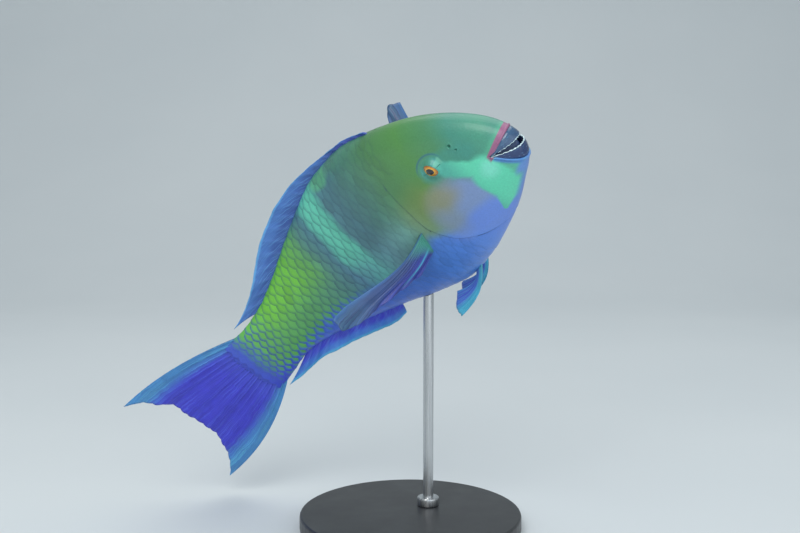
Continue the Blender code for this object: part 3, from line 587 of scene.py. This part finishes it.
def markings(start):
    """The fish's colours over its straight body, for the hide and for the scales on it.

    Each scale's free edge is darkened, softly and hardly at all on the breast, and the scales vary.
    """
    place, pure_x, _, pure_z = kept_vector(start, "straight")
    scale_edge, tone = kept(start, "edge"), kept(start, "tone")
    drift, fine = noise(place, 13.0, 3.0), noise(place, 260.0, 3.0)
    x, z = pure_x + drift * 0.03, pure_z + drift * -0.028
    upper = ramp(
        x, (0.0, 64, 132, 124), (0.05, 70, 146, 122), (0.1, 66, 140, 122), (0.15, 72, 134, 92),
        (0.22, 80, 138, 72), (0.31, 74, 126, 80), (0.39, 66, 116, 104), (0.46, 66, 112, 122),
        (0.505, 70, 118, 128), (0.525, 86, 180, 158), (0.55, 96, 196, 170), (0.585, 88, 182, 160),
        (0.605, 68, 118, 132), (0.64, 76, 130, 118), (0.675, 90, 158, 84), (0.73, 102, 180, 58),
        (0.86, 108, 188, 58), (0.95, 96, 174, 80), (0.985, 70, 128, 142), (1.0, 62, 92, 184))
    lower = ramp(
        x, (0.0, 92, 140, 206), (0.08, 90, 134, 214), (0.16, 100, 136, 222), (0.26, 84, 132, 216),
        (0.36, 72, 124, 206), (0.48, 68, 114, 198), (0.62, 68, 108, 204), (0.82, 78, 112, 216),
        (0.95, 66, 90, 206), (1.0, 60, 72, 200))
    middle = ramp(
        x, (0.0, 80, 190, 160), (0.26, 118, 142, 120), (0.34, 108, 152, 132), (0.38, 110, 164, 156),
        (0.46, 98, 150, 160), (0.53, 92, 168, 166), (0.6, 76, 122, 148), (0.68, 76, 134, 122),
        (0.76, 80, 150, 100), (0.95, 92, 168, 88), (0.985, 66, 116, 154), (1.0, 60, 86, 192))
    waist = ramp(x, (0.0, 0.42), (0.12, 0.4), (0.24, 0.42), (0.33, 0.455), (0.5, 0.41), (0.62, 0.43),
                 (0.75, 0.45), (0.9, 0.43)) - 0.5
    scatter = (0.5 - scale_edge) * 0.05 * fade(x, 0.6, 0.72)
    colour = blend(fade(z - waist, 0.135, 0.045) * 0.85, upper, middle)
    colour = blend(fade(z - waist + scatter, 0.02, -0.02), colour, lower)
    frayed = fade(scale_edge, 0.35, 1.0) * fade(x, 0.86, 0.96) * 0.8
    halo = spot(pure_x, pure_z, *EYE, 0.027, 0.023, 0.15) * fade(pure_z, 0.05, 0.085)
    ring_line = (spot(pure_x, pure_z, *EYE, 0.039, 0.035, 0.05)
                 - spot(pure_x, pure_z, *EYE, 0.035, 0.031, 0.06))
    colour = layers(
        colour,
        (frayed.sum("MAXIMUM", fade(pure_x, 0.985, 1.025)), 60, 80, 196),  # root of the tail
        (spot(x, z, 0.44, 0.235, 0.16, 0.02, 0.5) * 0.6, 76, 136, 112),  # nape
        (spot(x, z, 0.272, 0.012, 0.06, 0.056, 0.6) * 0.65, 110, 136, 64),  # gill cover
        (spot(x, z, 0.487, 0.22, 0.036, 0.026, 0.25) * 0.85, 84, 160, 122),  # light on the back
        (spot(x, z, 0.196, -0.04, 0.084, 0.076, 0.35), 122, 146, 190),  # cheek
        (spot(x, z, 0.19, -0.092, 0.09, 0.03, 0.45) * 0.9, 102, 138, 220),  # jowl
        (spot(x, z, 0.226, 0.008, 0.044, 0.03, 0.7) * 0.7, 142, 140, 80),  # tan behind the cheek
        (spot(x, z, 0.25, -0.03, 0.03, 0.06, 0.6) * 0.35, 126, 138, 96),  # olive below it
        (capsule(x, z, (0.1, 0.06), (0.165, 0.07), 0.024, 0.5) * 0.7, 62, 142, 128),  # brow
        (spot(x, z, *EYE, 0.035, 0.031, 0.3) * 0.75, 68, 146, 134),  # round the eye
        (halo * 0.6, 82, 184, 186),
        (ring_line.sum("MAXIMUM", 0.0) * (fade(pure_z, 0.075, 0.1) * 0.6), 36, 92, 132),
        (capsule(pure_x, pure_z, (0.162, 0.082), (0.16, 0.066), 0.004, 0.6) * 0.5, 130, 206, 176))  # glint
    bar = capsule(x, z, (0.105, 0.012), (0.163, 0.05), 0.019, 0.3)
    mint = spot(x, z, 0.099, -0.036, 0.04, 0.064, 0.2)
    tongue = capsule(x, z, (0.1, -0.066), (0.146, -0.104), 0.03, 0.3, 0.85)
    mint_tint = blend(fade(x, 0.11, 0.17), paint(96, 210, 174), paint(78, 172, 154))
    colour = blend(bar.sum("MAXIMUM", mint.sum("MAXIMUM", tongue)), colour, mint_tint)
    chin = fade(pure_z + pure_x * 0.62 + drift * 0.01, -0.026, -0.04) * fade(pure_x, 0.26, 0.16)
    lip_line = (pure_x - MOUTH_CORNER[0]) * 0.324 + (pure_z - MOUTH_CORNER[1]) * 0.946
    past_band = lip_line - (0.0105 - pure_x * 0.09)
    band = fade(past_band, 0.0014, -0.0014) * fade(lip_line, -0.012, -0.009) * fade(pure_x, 0.079, 0.07)
    above_band = fade(past_band, 0.014, 0.001) * fade(past_band, -0.001, 0.001) * fade(pure_x, 0.09, 0.06)
    colour = layers(
        colour,
        (spot(x, z, 0.088, -0.01, 0.018, 0.018, 0.7) * 0.55, 140, 226, 208),  # corner of the mouth
        (chin, 92, 132, 210),
        (spot(x, z, 0.038, -0.062, 0.024, 0.014, 0.4) * 0.9, 100, 140, 212),  # front of the chin
        (capsule(pure_x, pure_z, (0.064, -0.002), (0.036, -0.044), 0.0045, 0.9) * 0.7, 74, 112, 214),
        (band, 150, 95, 130),  # the pink band on the upper lip
        (above_band * 0.5, 84, 176, 140))
    reach = (0.1 + 0.34 * fade(pure_x, 0.36, 0.62) * fade(pure_z, -0.1, -0.03)) * fade(pure_x, 0.99, 0.93)
    rim = fade(scale_edge, 0.4, 1.0) + fade(scale_edge, 0.86, 0.97) * 0.25
    colour = shade(layers(colour, (rim * reach, 28, 62, 96)), 1.0 + tone * 0.1 + fine * 0.28 + drift * 0.12)
    return place, colour, scale_edge, fine


skin_finish, skin_shader, skin_wire = finish("skin", 0.42, 0.18)
place, colour, _, fine = markings(skin_wire)
# Painted shade: the gill slit is painted dark blue in its groove, and the inside of the mouth dark navy in
# its hollow.
feed(skin_shader, "Base Color", layers(colour, (kept(skin_wire, "slit"), 28, 52, 96),
                                       (kept(skin_wire, "mouth"), 58, 82, 128)))
feed(skin_shader, "Roughness", 0.42 + fine * 0.2)
pores = skin_wire.node("TexVoronoi", {"feature": "F1"}, {"Vector": place, "Scale": 150.0})
bump(skin_shader, 0.25, 0.0006, fine + pores * 0.4)

# The inside of the mouth is what the lips' roll has taken well under the hide or away from it. It is painted
# dark navy, a painted shade for the hollow of the mouth.
held = read(skin.data.attributes["straight"].data, "vector")
moved = (read(skin.data.vertices) / LENGTH - held) * LENGTH
depth_in = -(outward(held * LENGTH) * moved).sum(1)
in_mouth = np.maximum((depth_in - 0.0006) / 0.0012, (np.linalg.norm(moved, axis=1) - 0.0025) / 0.001)
mark(skin, "mouth", np.nan_to_num(np.clip(in_mouth, 0, 1), nan=1.0) * (held[:, 0] < LIP_REACH))
skin.data.materials.append(skin_finish)
swim(skin)
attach(skin, "root")
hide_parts("head", "trunk", "tail_stalk", "gill_cover_left", "gill_cover_right")


# Scales: large thin plates that overlap like tiles from the gill covers to the tail, each
# rooted in the hide in front and free at its round rear edge. Each side is one piece.
ROW_STEP = ((0.25, 0.42, 0.6, 0.8, 0.95, 1.0), (0.036, 0.042, 0.04, 0.034, 0.027, 0.025))
SCALE_RUN = ((0.25, 0.42, 0.62, 0.85, 1.0), (0.028, 0.031, 0.034, 0.032, 0.027))
SCALE_LIFT = ((-0.72, -0.2, 1.0), (-0.0011, -0.0005, -0.00018))
SCALE_DOME = SCALE_THICK = 0.00012
SCALE_LONG, SCALE_WIDE = 0.6, 0.62
FIRST_SCALE, LAST_SCALE = 0.262, 0.985
SCALE_ROWS = 14
BAKE_PATCH = 0.0017


def thicken(thing, thickness, offset, weights=None):
    """Make the active sheet a solid, thinner where its points have lower weights."""
    solid = thing.modifiers.new("thickness", "SOLIDIFY")
    solid.thickness, solid.offset = thickness, offset
    if weights is not None:
        group = thing.vertex_groups.new(name="thickness")
        for i, weight in enumerate(weights.ravel()):
            group.add([i], weight, "REPLACE")
        solid.vertex_group = "thickness"
    bpy.ops.object.modifier_apply(modifier=solid.name)


def scale_side(name, side, seed):
    """One flank's scales. u runs along each scale to its free edge, and v runs across it."""
    luck = np.random.default_rng(seed)
    columns = [FIRST_SCALE]
    while columns[-1] < LAST_SCALE:
        columns.append(columns[-1] + np.interp(columns[-1], *SCALE_RUN) / 2)
    u, v = np.meshgrid(np.linspace(SCALE_LIFT[0][0], 1.0, 8), np.linspace(-1, 1, 7))
    round_end = (np.maximum(u - 0.1, 0) / 0.9) ** 2.2
    taper = np.maximum(np.sqrt(np.maximum(1 - round_end, 0)), 0.1) * np.interp(u, (-0.72, -0.3), (0.75, 1.0))
    edge = np.clip(round_end + np.abs(v * taper) ** 2.2, 0, 1) ** 0.45 * np.clip((u + 0.05) / 0.5, 0, 1)
    lift = np.interp(u, *SCALE_LIFT) + SCALE_DOME * (1 - v ** 2)
    down, across = u.shape
    cell = [(k, k + 1, k + across + 1, k + across) for k in range((down - 1) * across) if (k + 1) % across]
    faces, corners, tones, patches = [], [], [], []
    for i, x in enumerate(columns):
        step, run, girth = (np.interp(x, *table) for table in (ROW_STEP, SCALE_RUN, (GIRTH_X, GIRTH)))
        for j in range(-SCALE_ROWS, SCALE_ROWS + 1):
            row = j + 0.5 * (i % 2)
            height = row * step
            if abs(height) > girth * 0.985:
                continue
            front = gill_edge(height / girth)
            if height > girth * 0.5:
                front = min(front, FIRST_SCALE)
            if x < front + run * 0.3:
                continue
            jitter = luck.normal(0, 0.012, 2)
            size = 1 + luck.normal(0, 0.03)
            xs = x + (u * size + jitter[0]) * run * SCALE_LONG
            heights = (row + v * taper * SCALE_WIDE * size + jitter[1]) * np.interp(xs, *ROW_STEP)
            share = np.clip(heights / np.interp(xs, GIRTH_X, GIRTH), -1.0, 1.0)
            points = surface(xs, turn_at(xs, share), lift)
            points[..., 1] *= side
            base = len(corners) * u.size
            faces += [tuple(base + k for k in quad[::-side]) for quad in cell]
            corners.append(points.reshape(-1, 3))
            tones.append(np.full(u.size, luck.normal(0, 0.5)))
            root = 0.03 + 0.9 * x + BAKE_PATCH * u, 0.5 + 0.8 * height + BAKE_PATCH * v
            patches.append(np.stack(root, -1).reshape(-1, 2))
    points = np.concatenate(corners)
    mesh = bpy.data.meshes.new(name)
    mesh.from_pydata(points.tolist(), [], faces)
    made = bpy.data.objects.new(name, mesh)
    bpy.context.scene.collection.objects.link(made)
    mark(made, "straight", points / LENGTH)
    mark(made, "edge", np.tile(edge.ravel(), len(corners)))
    mark(made, "tone", np.concatenate(tones))
    bake_map = mesh.uv_layers.new(name="OFBake")
    loops = np.empty(len(mesh.loops), int)
    mesh.loops.foreach_get("vertex_index", loops)
    bake_map.data.foreach_set("uv", np.concatenate(patches)[loops].ravel())
    swim(made)
    bpy.ops.object.select_all(action="DESELECT")
    bpy.context.view_layer.objects.active = made
    made.select_set(True)
    thicken(made, SCALE_THICK, -1)
    made.data.shade_smooth()
    made.data.set_sharp_from_angle(angle=math.radians(40))
    made.data.materials.append(scale_finish)
    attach(made, "root")


scale_finish, scale_shader, scale_wire = finish("scales", 0.38, 0.22)
_, colour, scale_edge, fine = markings(scale_wire)
feed(scale_shader, "Base Color", colour)
feed(scale_shader, "Roughness", 0.36 + fine * 0.25)
bump(scale_shader, 0.18, 0.0003, (scale_edge * 90.0).sum("SINE") * 0.3 + fine)
scale_side("scales_right", 1, 11)
scale_side("scales_left", -1, 12)


# Fins: skin stretched on slender rays, which branch towards the margin. Each fin is one
# thin sheet, thickest along its rays, with its root sunk in the flesh.
def face_out():
    """Turn the faces of the active mesh outwards."""
    bpy.ops.object.mode_set(mode="EDIT")
    bpy.ops.mesh.select_all(action="SELECT")
    bpy.ops.mesh.normals_make_consistent(inside=False)
    bpy.ops.object.mode_set(mode="OBJECT")


def fin_sheet(name, node, coat, roots, tips, bow, thick, ray, web=0.3, rows=22, per_ray=8,
              branch=0.17, wave=0.0006, seed=1, early=1):
    """Sheet through the rays from roots to tips; thick holds the rays' thickness down them.

    bow moves a ray aside, most at its middle where early is 1 and nearer its root where it is 2.
    """
    rays = len(roots)
    along = np.linspace(0, rays - 1, (rays - 1) * per_ray + 1)
    luck = np.random.default_rng(seed)
    tips = tips + (tips - roots) * luck.normal(0, 0.008, (rays, 1))

    def spread(values):
        values = np.broadcast_to(values, roots.shape)
        return np.stack([smooth(np.arange(rays), values[:, k], along) for k in range(3)], 1)

    root, tip, bulge = spread(roots), spread(tips), spread(bow)
    gap = np.abs(along - np.round(along))
    share = np.linspace(0, 1, rows)[:, None, None]
    reach = 1 - NOTCH * (gap[None, :, None] * 2) ** 1.5 * share ** 4
    most = (early + 1) ** (early + 1) / early ** early
    grid = root + (tip - root) * share * reach + bulge * most * share * (1 - share) ** early
    across_fin = np.cross(tip - root, np.gradient(root + tip, axis=0))
    across_fin /= np.linalg.norm(across_fin, axis=1)[:, None]
    ripple = np.sin(along * 2.1 + luck.uniform(0, 6)) + 0.6 * np.sin(along * 0.9 + luck.uniform(0, 6))
    grid = grid + across_fin[None] * (ripple[None, :, None] * share ** 1.6 * wave)
    split = branch * np.clip((share[..., 0] - 0.42) / 0.5, 0, 1)
    ridge = np.exp(-((gap[None, :] - split) / 0.13) ** 2)
    down = np.interp(share[..., 0], np.linspace(0, 1, len(thick)), thick)
    weight = down * (web + (1 - web) * ridge) / max(thick)
    made = sheet(name, grid)
    mark(made, "straight", grid / LENGTH)
    mark(made, "fin", points_of(along / (rays - 1), share[..., 0], ridge))
    swim(made)
    thicken(made, ray * max(thick), 0, np.maximum(weight, THINNEST))
    face_out()
    made.data.shade_smooth()
    made.data.materials.append(coat)
    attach(made, "root")
    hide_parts(node)


def fin_finish(name, paint_fin):
    """Membrane with paler rays, painted by how far across and along the fin a point lies."""
    made, shader, wire = finish(name, 0.4, 0.12)
    _, across, down, ridge = kept_vector(wire, "fin")
    place = kept_vector(wire, "straight")[0]
    cloud, fine = noise(place, 30.0, 4.0), noise(place, 300.0, 2.0)
    colour = paint_fin(across + cloud * 0.05, down + cloud * 0.06, ridge)
    feed(shader, "Base Color", shade(colour, 1.0 + cloud * 0.5 + fine * 0.15))
    bump(shader, 0.2, 0.0003, (down * 260.0).sum("SINE") * ridge * 0.4 + fine)
    feed(shader, "Roughness", 0.4 + fine * 0.3)
    return made


def streaks(across, down, count, lean):
    """Fine light and dark lines that run along a fin, leaning back from its rays."""
    lie = across.node("CombineXYZ", None, {0: (across - down * lean) * count, 1: down * 1.5})
    return noise(lie, 1.0, 2.0)


def median_fin(name, node, coat, sign, x, lean, tall, seed):
    """A fin along the back where sign is 1 or the belly where it is -1, its rays leaning back."""
    rim = BACK if sign > 0 else BELLY
    roots = points_of(x, 0, (profile(rim, x) - 0.004) * sign) * LENGTH
    tips = points_of(x + lean, 0, (profile(rim, x + lean) + tall) * sign) * LENGTH
    fin_sheet(name, node, coat, roots, tips, (0, 0, 0.001 * sign), MEDIAN_THICK, 0.0015, seed=seed)


def dorsal_colour(across, down, ridge):
    return layers(
        blend(fade(down, 0.2, 0.7), paint(48, 82, 154), paint(62, 106, 178)),
        (fade(streaks(across, down, 170.0, 0.12), -0.05, 0.2) * 0.7, 88, 142, 202),
        (fade(down, 0.84, 0.95), 90, 156, 212),
        (fade(across, 0.3, 0.1) * fade(down, 0.9, 0.6) * 0.6, 58, 62, 170),
        (ridge * 0.12, 96, 150, 210))


def anal_colour(across, down, ridge):
    return layers(
        blend(fade(down, 0.3, 0.65), paint(62, 64, 200), paint(62, 116, 202)),
        (fade(streaks(across, down, 90.0, 0.2), -0.05, 0.2) * 0.5, 84, 132, 216),
        (fade(down, 0.72, 0.94), 76, 162, 208),
        (ridge * 0.15, 100, 160, 224))


THINNEST = 0.12
NOTCH = 0.012
MEDIAN_THICK = (1.0, 0.9, 0.75, 0.6, 0.45)
D_RAYS, A_RAYS, T_RAYS, P_RAYS, V_RAYS = 19, 12, 17, 14, 6
D_X = (0.3, 0.4, 0.465, 0.535, 0.61, 0.69, 0.765, 0.81, 0.885)
dx, ax = np.linspace(0.3, 0.885, D_RAYS), np.linspace(0.615, 0.885, A_RAYS)
d_tall = smooth(D_X, (0.006, 0.01, 0.021, 0.042, 0.056, 0.061, 0.047, 0.034, 0.018), dx)
d_lean = smooth(D_X, (0.012, 0.024, 0.036, 0.045, 0.05, 0.05, 0.055, 0.06, 0.072), dx)
a_tall = smooth((0.615, 0.66, 0.74, 0.82, 0.885), (0.03, 0.048, 0.049, 0.04, 0.013), ax)
a_lean = smooth((0.615, 0.7, 0.8, 0.885), (0.012, 0.03, 0.052, 0.105), ax)
median_fin("fin_dorsal", "dorsal_fin", fin_finish("dorsal skin", dorsal_colour), 1, dx, d_lean, d_tall, 3)
median_fin("fin_anal", "anal_fin", fin_finish("anal skin", anal_colour), -1, ax, a_lean, a_tall, 4)


def tail_colour(across, down, ridge):
    lines = streaks(across, down, 150.0, 0.0)
    edge = fade((across - 0.5).sum("ABSOLUTE") + (down - 0.5) * 0.05 + lines * 0.05, 0.31, 0.44)
    border = blend(fade(lines, -0.05, 0.2), paint(62, 124, 186), paint(84, 160, 200))
    return blend(edge, layers(
        blend(fade(down, 0.05, 0.45), paint(64, 78, 196), paint(56, 56, 192)),
        (fade(lines, 0.0, 0.22) * 0.6, 84, 104, 218),
        (fade(lines, -0.04, -0.22) * 0.5, 44, 40, 156)), border)


tt = np.linspace(-1, 1, T_RAYS)
t_centre, t_high, _ = section(STALK_END)
t_roots = points_of(STALK_END * LENGTH - 0.002, 0, t_centre + t_high * 0.96 * tt)
t_reach = 1.232 + 0.088 * np.abs(tt) ** 2.6
t_height = np.sign(tt) * 0.176 * np.abs(tt) ** 0.92 - 0.008
t_tips = points_of(t_reach, 0, t_height) * LENGTH
t_bow = points_of(0, 0, np.where(tt > 0, 0.006, 0.009) * tt * np.abs(tt))
fin_sheet("fin_tail", "caudal_fin", fin_finish("tail skin", tail_colour), t_roots, t_tips, t_bow,
          (2.4, 1.7, 1.15, 0.95, 0.8, 0.7, 0.6, 0.5, 0.42), 0.0015, web=0.5, rows=44, per_ray=12,
          branch=0.22, wave=0.001, seed=5)


def pectoral_colour(across, down, ridge):
    lines = streaks(across, down, 60.0, 0.0)
    return layers(
        blend(fade(across, 0.1, 0.45), paint(44, 72, 126), paint(42, 58, 150)),
        (fade(down, 0.5, 0.95) * fade(across, 0.45, 0.15) * 0.7, 58, 98, 124),
        (fade(lines, 0.0, -0.18) * 0.7, 28, 38, 100),
        (fade(lines, 0.04, 0.24) * 0.35, 80, 112, 196),
        (stripe(across, 0.6, 0.7, 0.03) * fade(down, 1.0, 0.5), 72, 160, 200),
        (fade(down, 0.24, 0.04), 70, 152, 138),
        (fade(across, 0.045, 0.0) * 0.7, 60, 112, 170))


def pelvic_colour(across, down, ridge):
    return layers(
        blend(fade(across, 0.2, 0.6), paint(72, 176, 208), paint(70, 92, 204)),
        (fade(across, 0.8, 1.0) * 0.5, 84, 150, 216),
        (ridge * 0.35, 104, 190, 228))


def fan_ways(ways, turn, side):
    """Unit directions of a fan's rays, turned from its first edge to its last."""
    way = np.array(ways[0]) * (1 - turn[:, None]) + np.array(ways[1]) * turn[:, None]
    way /= np.linalg.norm(way, axis=1)[:, None]
    return way * (1, side, 1)


# The paired fins are fans. The right pectoral is swept back and down, the left one is raised.
pt, vt = np.linspace(0, 1, P_RAYS), np.linspace(0, 1, V_RAYS)
p_finish, v_finish = fin_finish("pectoral skin", pectoral_colour), fin_finish("pelvic skin", pelvic_colour)
P_ACROSS = (0.0, 0.1, 0.2, 0.3, 0.45, 0.6, 0.85, 1.0)
P_SIZE = (0.335, 0.34, 0.305, 0.255, 0.195, 0.15, 0.1, 0.07)
P_THICK = (2.2, 1.3, 1.0, 0.85, 0.75, 0.65, 0.55, 0.5, 0.42)
V_THICK = (1.5, 1.2, 1.0, 0.9, 0.8, 0.65, 0.5)
V_WAYS = ((0.88, 0.08, -0.47), (0.97, 0.1, -0.25))
SWEPT = (((0.748, 0.657, 0.084), (0.69, 0.67, -0.27)), (0, 0.0025, -0.0075), 1.0)
RAISED = (((0.148, 0.676, 0.721), (0.35, 0.25, 0.9)), (0, 0.001, -0.003), 0.85)
for side, word, (ways, p_bow, part_size) in ((1, "right", SWEPT), (-1, "left", RAISED)):
    px, pz = 0.339 + 0.02 * pt, -0.022 - 0.052 * pt
    p_roots = points_of(px * LENGTH, side * (flank(px, pz) - 0.002), pz * LENGTH)
    p_size = smooth(P_ACROSS, P_SIZE, pt)[:, None] * part_size * LENGTH
    fin_sheet("fin_pectoral_" + word, "pectoral_fin_" + word, p_finish, p_roots,
              p_roots + fan_ways(ways, pt ** 0.6, side) * p_size,
              np.array(p_bow) * (1, side, 1) * (1 - pt[:, None]), P_THICK, 0.0013, rows=40,
              per_ray=10, branch=0.2, wave=0.0009, seed=6, early=2)
    vx = 0.335 + 0.03 * vt
    v_roots = points_of(vx, side * (0.022 - 0.01 * vt), 0.01 - profile(BELLY, vx)) * LENGTH
    v_size = (0.185 - 0.09 * vt[:, None] ** 1.3) * LENGTH
    fin_sheet("fin_pelvic_" + word, "pelvic_fin_" + word, v_finish, v_roots,
              v_roots + fan_ways(V_WAYS, vt, side) * v_size, (-0.004, 0, -0.004), V_THICK, 0.0014,
              rows=34, per_ray=12, branch=0.2, seed=7)


# Beak: teeth fused into two hard plates that jut out between the lips, dark blue with a
# chipped pale cutting edge. Each is a curved shell, thin at the edge.
UPPER_CUT, LOWER_CUT = (0, -0.006), (0, -0.024)
PLATE_ROWS, PLATE_COLUMNS = 18, 49
PLATE_THICK = 0.0026
ROOTED = 0.1
PLATE_SINK = ((-0.1, 0.08, 0.35, 1), (0.0022, 0.0011, 0.0002, 0.0))
beak_finish, beak_shader, beak_wire = finish("beak enamel", 0.22, 0.5)
beak_place, beak_side, beak_down, is_lower = kept_vector(beak_wire, "beak")
beak_mottle = noise(beak_place, 9.0, 4.0)
teeth = (beak_side * 60.0).sum("SINE")
feed(beak_shader, "Base Color", layers(
    blend(is_lower, paint(58, 92, 126), paint(32, 54, 102)),
    (fade(beak_down + beak_mottle * 0.3, 0.3, 0.85) * 0.5, 36, 58, 100),
    (fade(beak_mottle, 0.05, 0.25) * 0.5, 96, 150, 190),
    (fade(beak_down + teeth * 0.012 + beak_mottle * 0.12, 0.94, 0.97), 206, 232, 238)))
bump(beak_shader, 0.3, 0.0003, teeth * 0.3 + beak_mottle)
feed(beak_shader, "Roughness", 0.24 + beak_mottle * 0.2)


def beak_plate(name, node, lip, cut):
    """A plate that spans the turn from a lip to a cutting edge, out to the body's profile."""
    lip_turn, cut_turn = (math.atan2(z - MOUTH_CORNER[1], MOUTH_CORNER[0] - x) for x, z in (lip, cut))
    down = np.linspace(-ROOTED, 1, PLATE_ROWS)
    sides = np.linspace(-0.95, 0.95, PLATE_COLUMNS)
    try_far = np.linspace(0.0, 0.13, 1301)
    rows = []
    for turn in np.linspace(lip_turn + ROOTED * (lip_turn - cut_turn), cut_turn, PLATE_ROWS):
        tx = MOUTH_CORNER[0] - try_far * math.cos(turn)
        tz = MOUTH_CORNER[1] + try_far * math.sin(turn)
        inside = (tx > STATION[0]) & (tz < profile(BACK, tx)) & (tz > -profile(BELLY, tx))
        run = try_far[np.nonzero(inside)[0][-1]] * (1 - np.abs(sides) ** 2.2)
        x, z = MOUTH_CORNER[0] - run * math.cos(turn), MOUTH_CORNER[1] + run * math.sin(turn)
        if len(rows) == PLATE_ROWS - 1:
            z = z + 0.0003 / LENGTH * np.sin(sides * 47)
        wide = flank(np.maximum(x, STATION[0] + 0.0001), z)
        rows.append(points_of(x * LENGTH, np.sign(sides) * wide, z * LENGTH))
    points = np.array(rows)
    facing = outward(points.reshape(-1, 3)).reshape(points.shape)
    made = sheet(name, points - facing * np.interp(down, *PLATE_SINK)[:, None, None])
    mark(made, "beak", points_of(sides, down[:, None], float(lip_turn < 0)))
    face_out()
    if sum(face.normal.x * face.area for face in made.data.polygons) > 0:
        made.data.flip_normals()
    thicken(made, PLATE_THICK, -1, np.repeat(np.interp(down, (0, 0.7, 1), (1.0, 0.7, 0.28)), len(sides)))
    swim(made)
    made.data.materials.append(beak_finish)
    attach(made, "root")
    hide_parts(node)


beak_plate("beak_upper", "upper_beak", UPPER_LIP, UPPER_CUT)
beak_plate("beak_lower", "lower_beak", LOWER_LIP, LOWER_CUT)


# Eyes: polished balls with an orange iris round a dark pupil, sunk in their sockets so
# that only the middle shows between the lids. The clear front swells a little.
SWELL, SWELL_REACH = 0.00045, 0.42
eye_finish, eye_shader, eye_wire = finish("eye", 0.08, 1.0)
gaze, gaze_x, _, gaze_z = kept_vector(eye_wire, "gaze")
streak = noise(gaze, 9.0, 5.0)
from_pupil = (((gaze_x + gaze_z) * 0.66) ** 2.0 + ((gaze_x - gaze_z) * 0.8) ** 2.0) ** 0.5
feed(eye_shader, "Base Color", layers(
    blend(fade(from_pupil + streak * 0.1, 0.36, 0.6), paint(212, 148, 40), paint(168, 104, 34)),
    (fade(from_pupil + streak * 0.06, 0.58, 0.7), 96, 84, 40),
    (stripe(from_pupil + streak * 0.02, 0.335, 0.365, 0.012), 240, 190, 60),
    (fade(from_pupil + streak * 0.02, 0.35, 0.33), 7, 12, 20)))
for side, word in ((1, "right"), (-1, "left")):
    bpy.ops.object.select_all(action="DESELECT")
    bpy.ops.mesh.primitive_uv_sphere_add(segments=48, ring_count=32, radius=EYE_RADIUS)
    eyeball = bpy.context.object
    eyeball.name = eyeball.data.name = "eyeball_" + word
    ball_way = read(eyeball.data.vertices)[:, [0, 2, 1]] * (1, side, 1) / EYE_RADIUS
    swell = SWELL * np.exp(-((np.hypot(ball_way[:, 0], ball_way[:, 2]) / SWELL_REACH) ** 2))
    ball_far = EYE_RADIUS + swell * (ball_way[:, 1] * side > 0)
    mark(eyeball, "gaze", ball_way)
    write(eyeball, ball_way * ball_far[:, None] + np.array(eye_middle(side)))
    face_out()
    swim(eyeball)
    eyeball.data.materials.append(eye_finish)
    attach(eyeball, "root")
    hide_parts("eye_" + word)


# Stand: a heavy turned disc painted satin black, with a brushed steel rod screwed into it
# through a small collar. The rod ends in the fish's belly.
BASE_TOP = 0.012
ROD_PLACE = (0.014, 0.016)
COLLAR_RADIUS, COLLAR_TALL = 0.0085, 0.007
base_finish, base_shader, base_wire = finish("satin paint", 0.45, 0.1)
base_place = base_wire.node("TexCoord", out=3)
dust = noise(base_place, 40.0, 5.0)
feed(base_shader, "Base Color", blend(fade(dust, 0.0, 0.4) * 0.4, paint(38, 40, 43), paint(56, 58, 61)))
feed(base_shader, "Roughness", 0.42 + dust * 0.25)
bump(base_shader, 0.15, 0.0002, noise(base_place, 900.0, 2.0))
rod_finish, rod_shader, rod_wire = finish("brushed steel", 0.3, 0.0, 1.0)
rod_place = rod_wire.node("Mapping", None, {"Vector": rod_wire.node("TexCoord", out=3),
                                            "Scale": (900.0, 900.0, 12.0)})
brush = noise(rod_place, 1.0, 3.0)
feed(rod_shader, "Base Color", blend(fade(brush, -0.3, 0.3), paint(178, 180, 182), paint(206, 208, 210)))
feed(rod_shader, "Roughness", 0.28 + brush * 0.25)
for node, node_finish in (("stand_base", base_finish), ("stand_rod", rod_finish)):
    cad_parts[node].data.materials.clear()
    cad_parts[node].data.materials.append(node_finish)
bpy.ops.object.select_all(action="DESELECT")
bpy.ops.mesh.primitive_cylinder_add(radius=COLLAR_RADIUS, depth=COLLAR_TALL, vertices=48,
                                    location=(*ROD_PLACE, BASE_TOP + COLLAR_TALL / 2))
collar = bpy.context.object
collar.name = collar.data.name = "stand_collar"
collar_edge = collar.modifiers.new("edge", "BEVEL")
collar_edge.width, collar_edge.segments = 0.0012, 3
bpy.ops.object.modifier_apply(modifier=collar_edge.name)
bpy.ops.object.transform_apply(location=True, rotation=True, scale=True)
bpy.ops.object.shade_smooth_by_angle(angle=math.radians(30))
collar.data.materials.append(rod_finish)
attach(collar, "root")
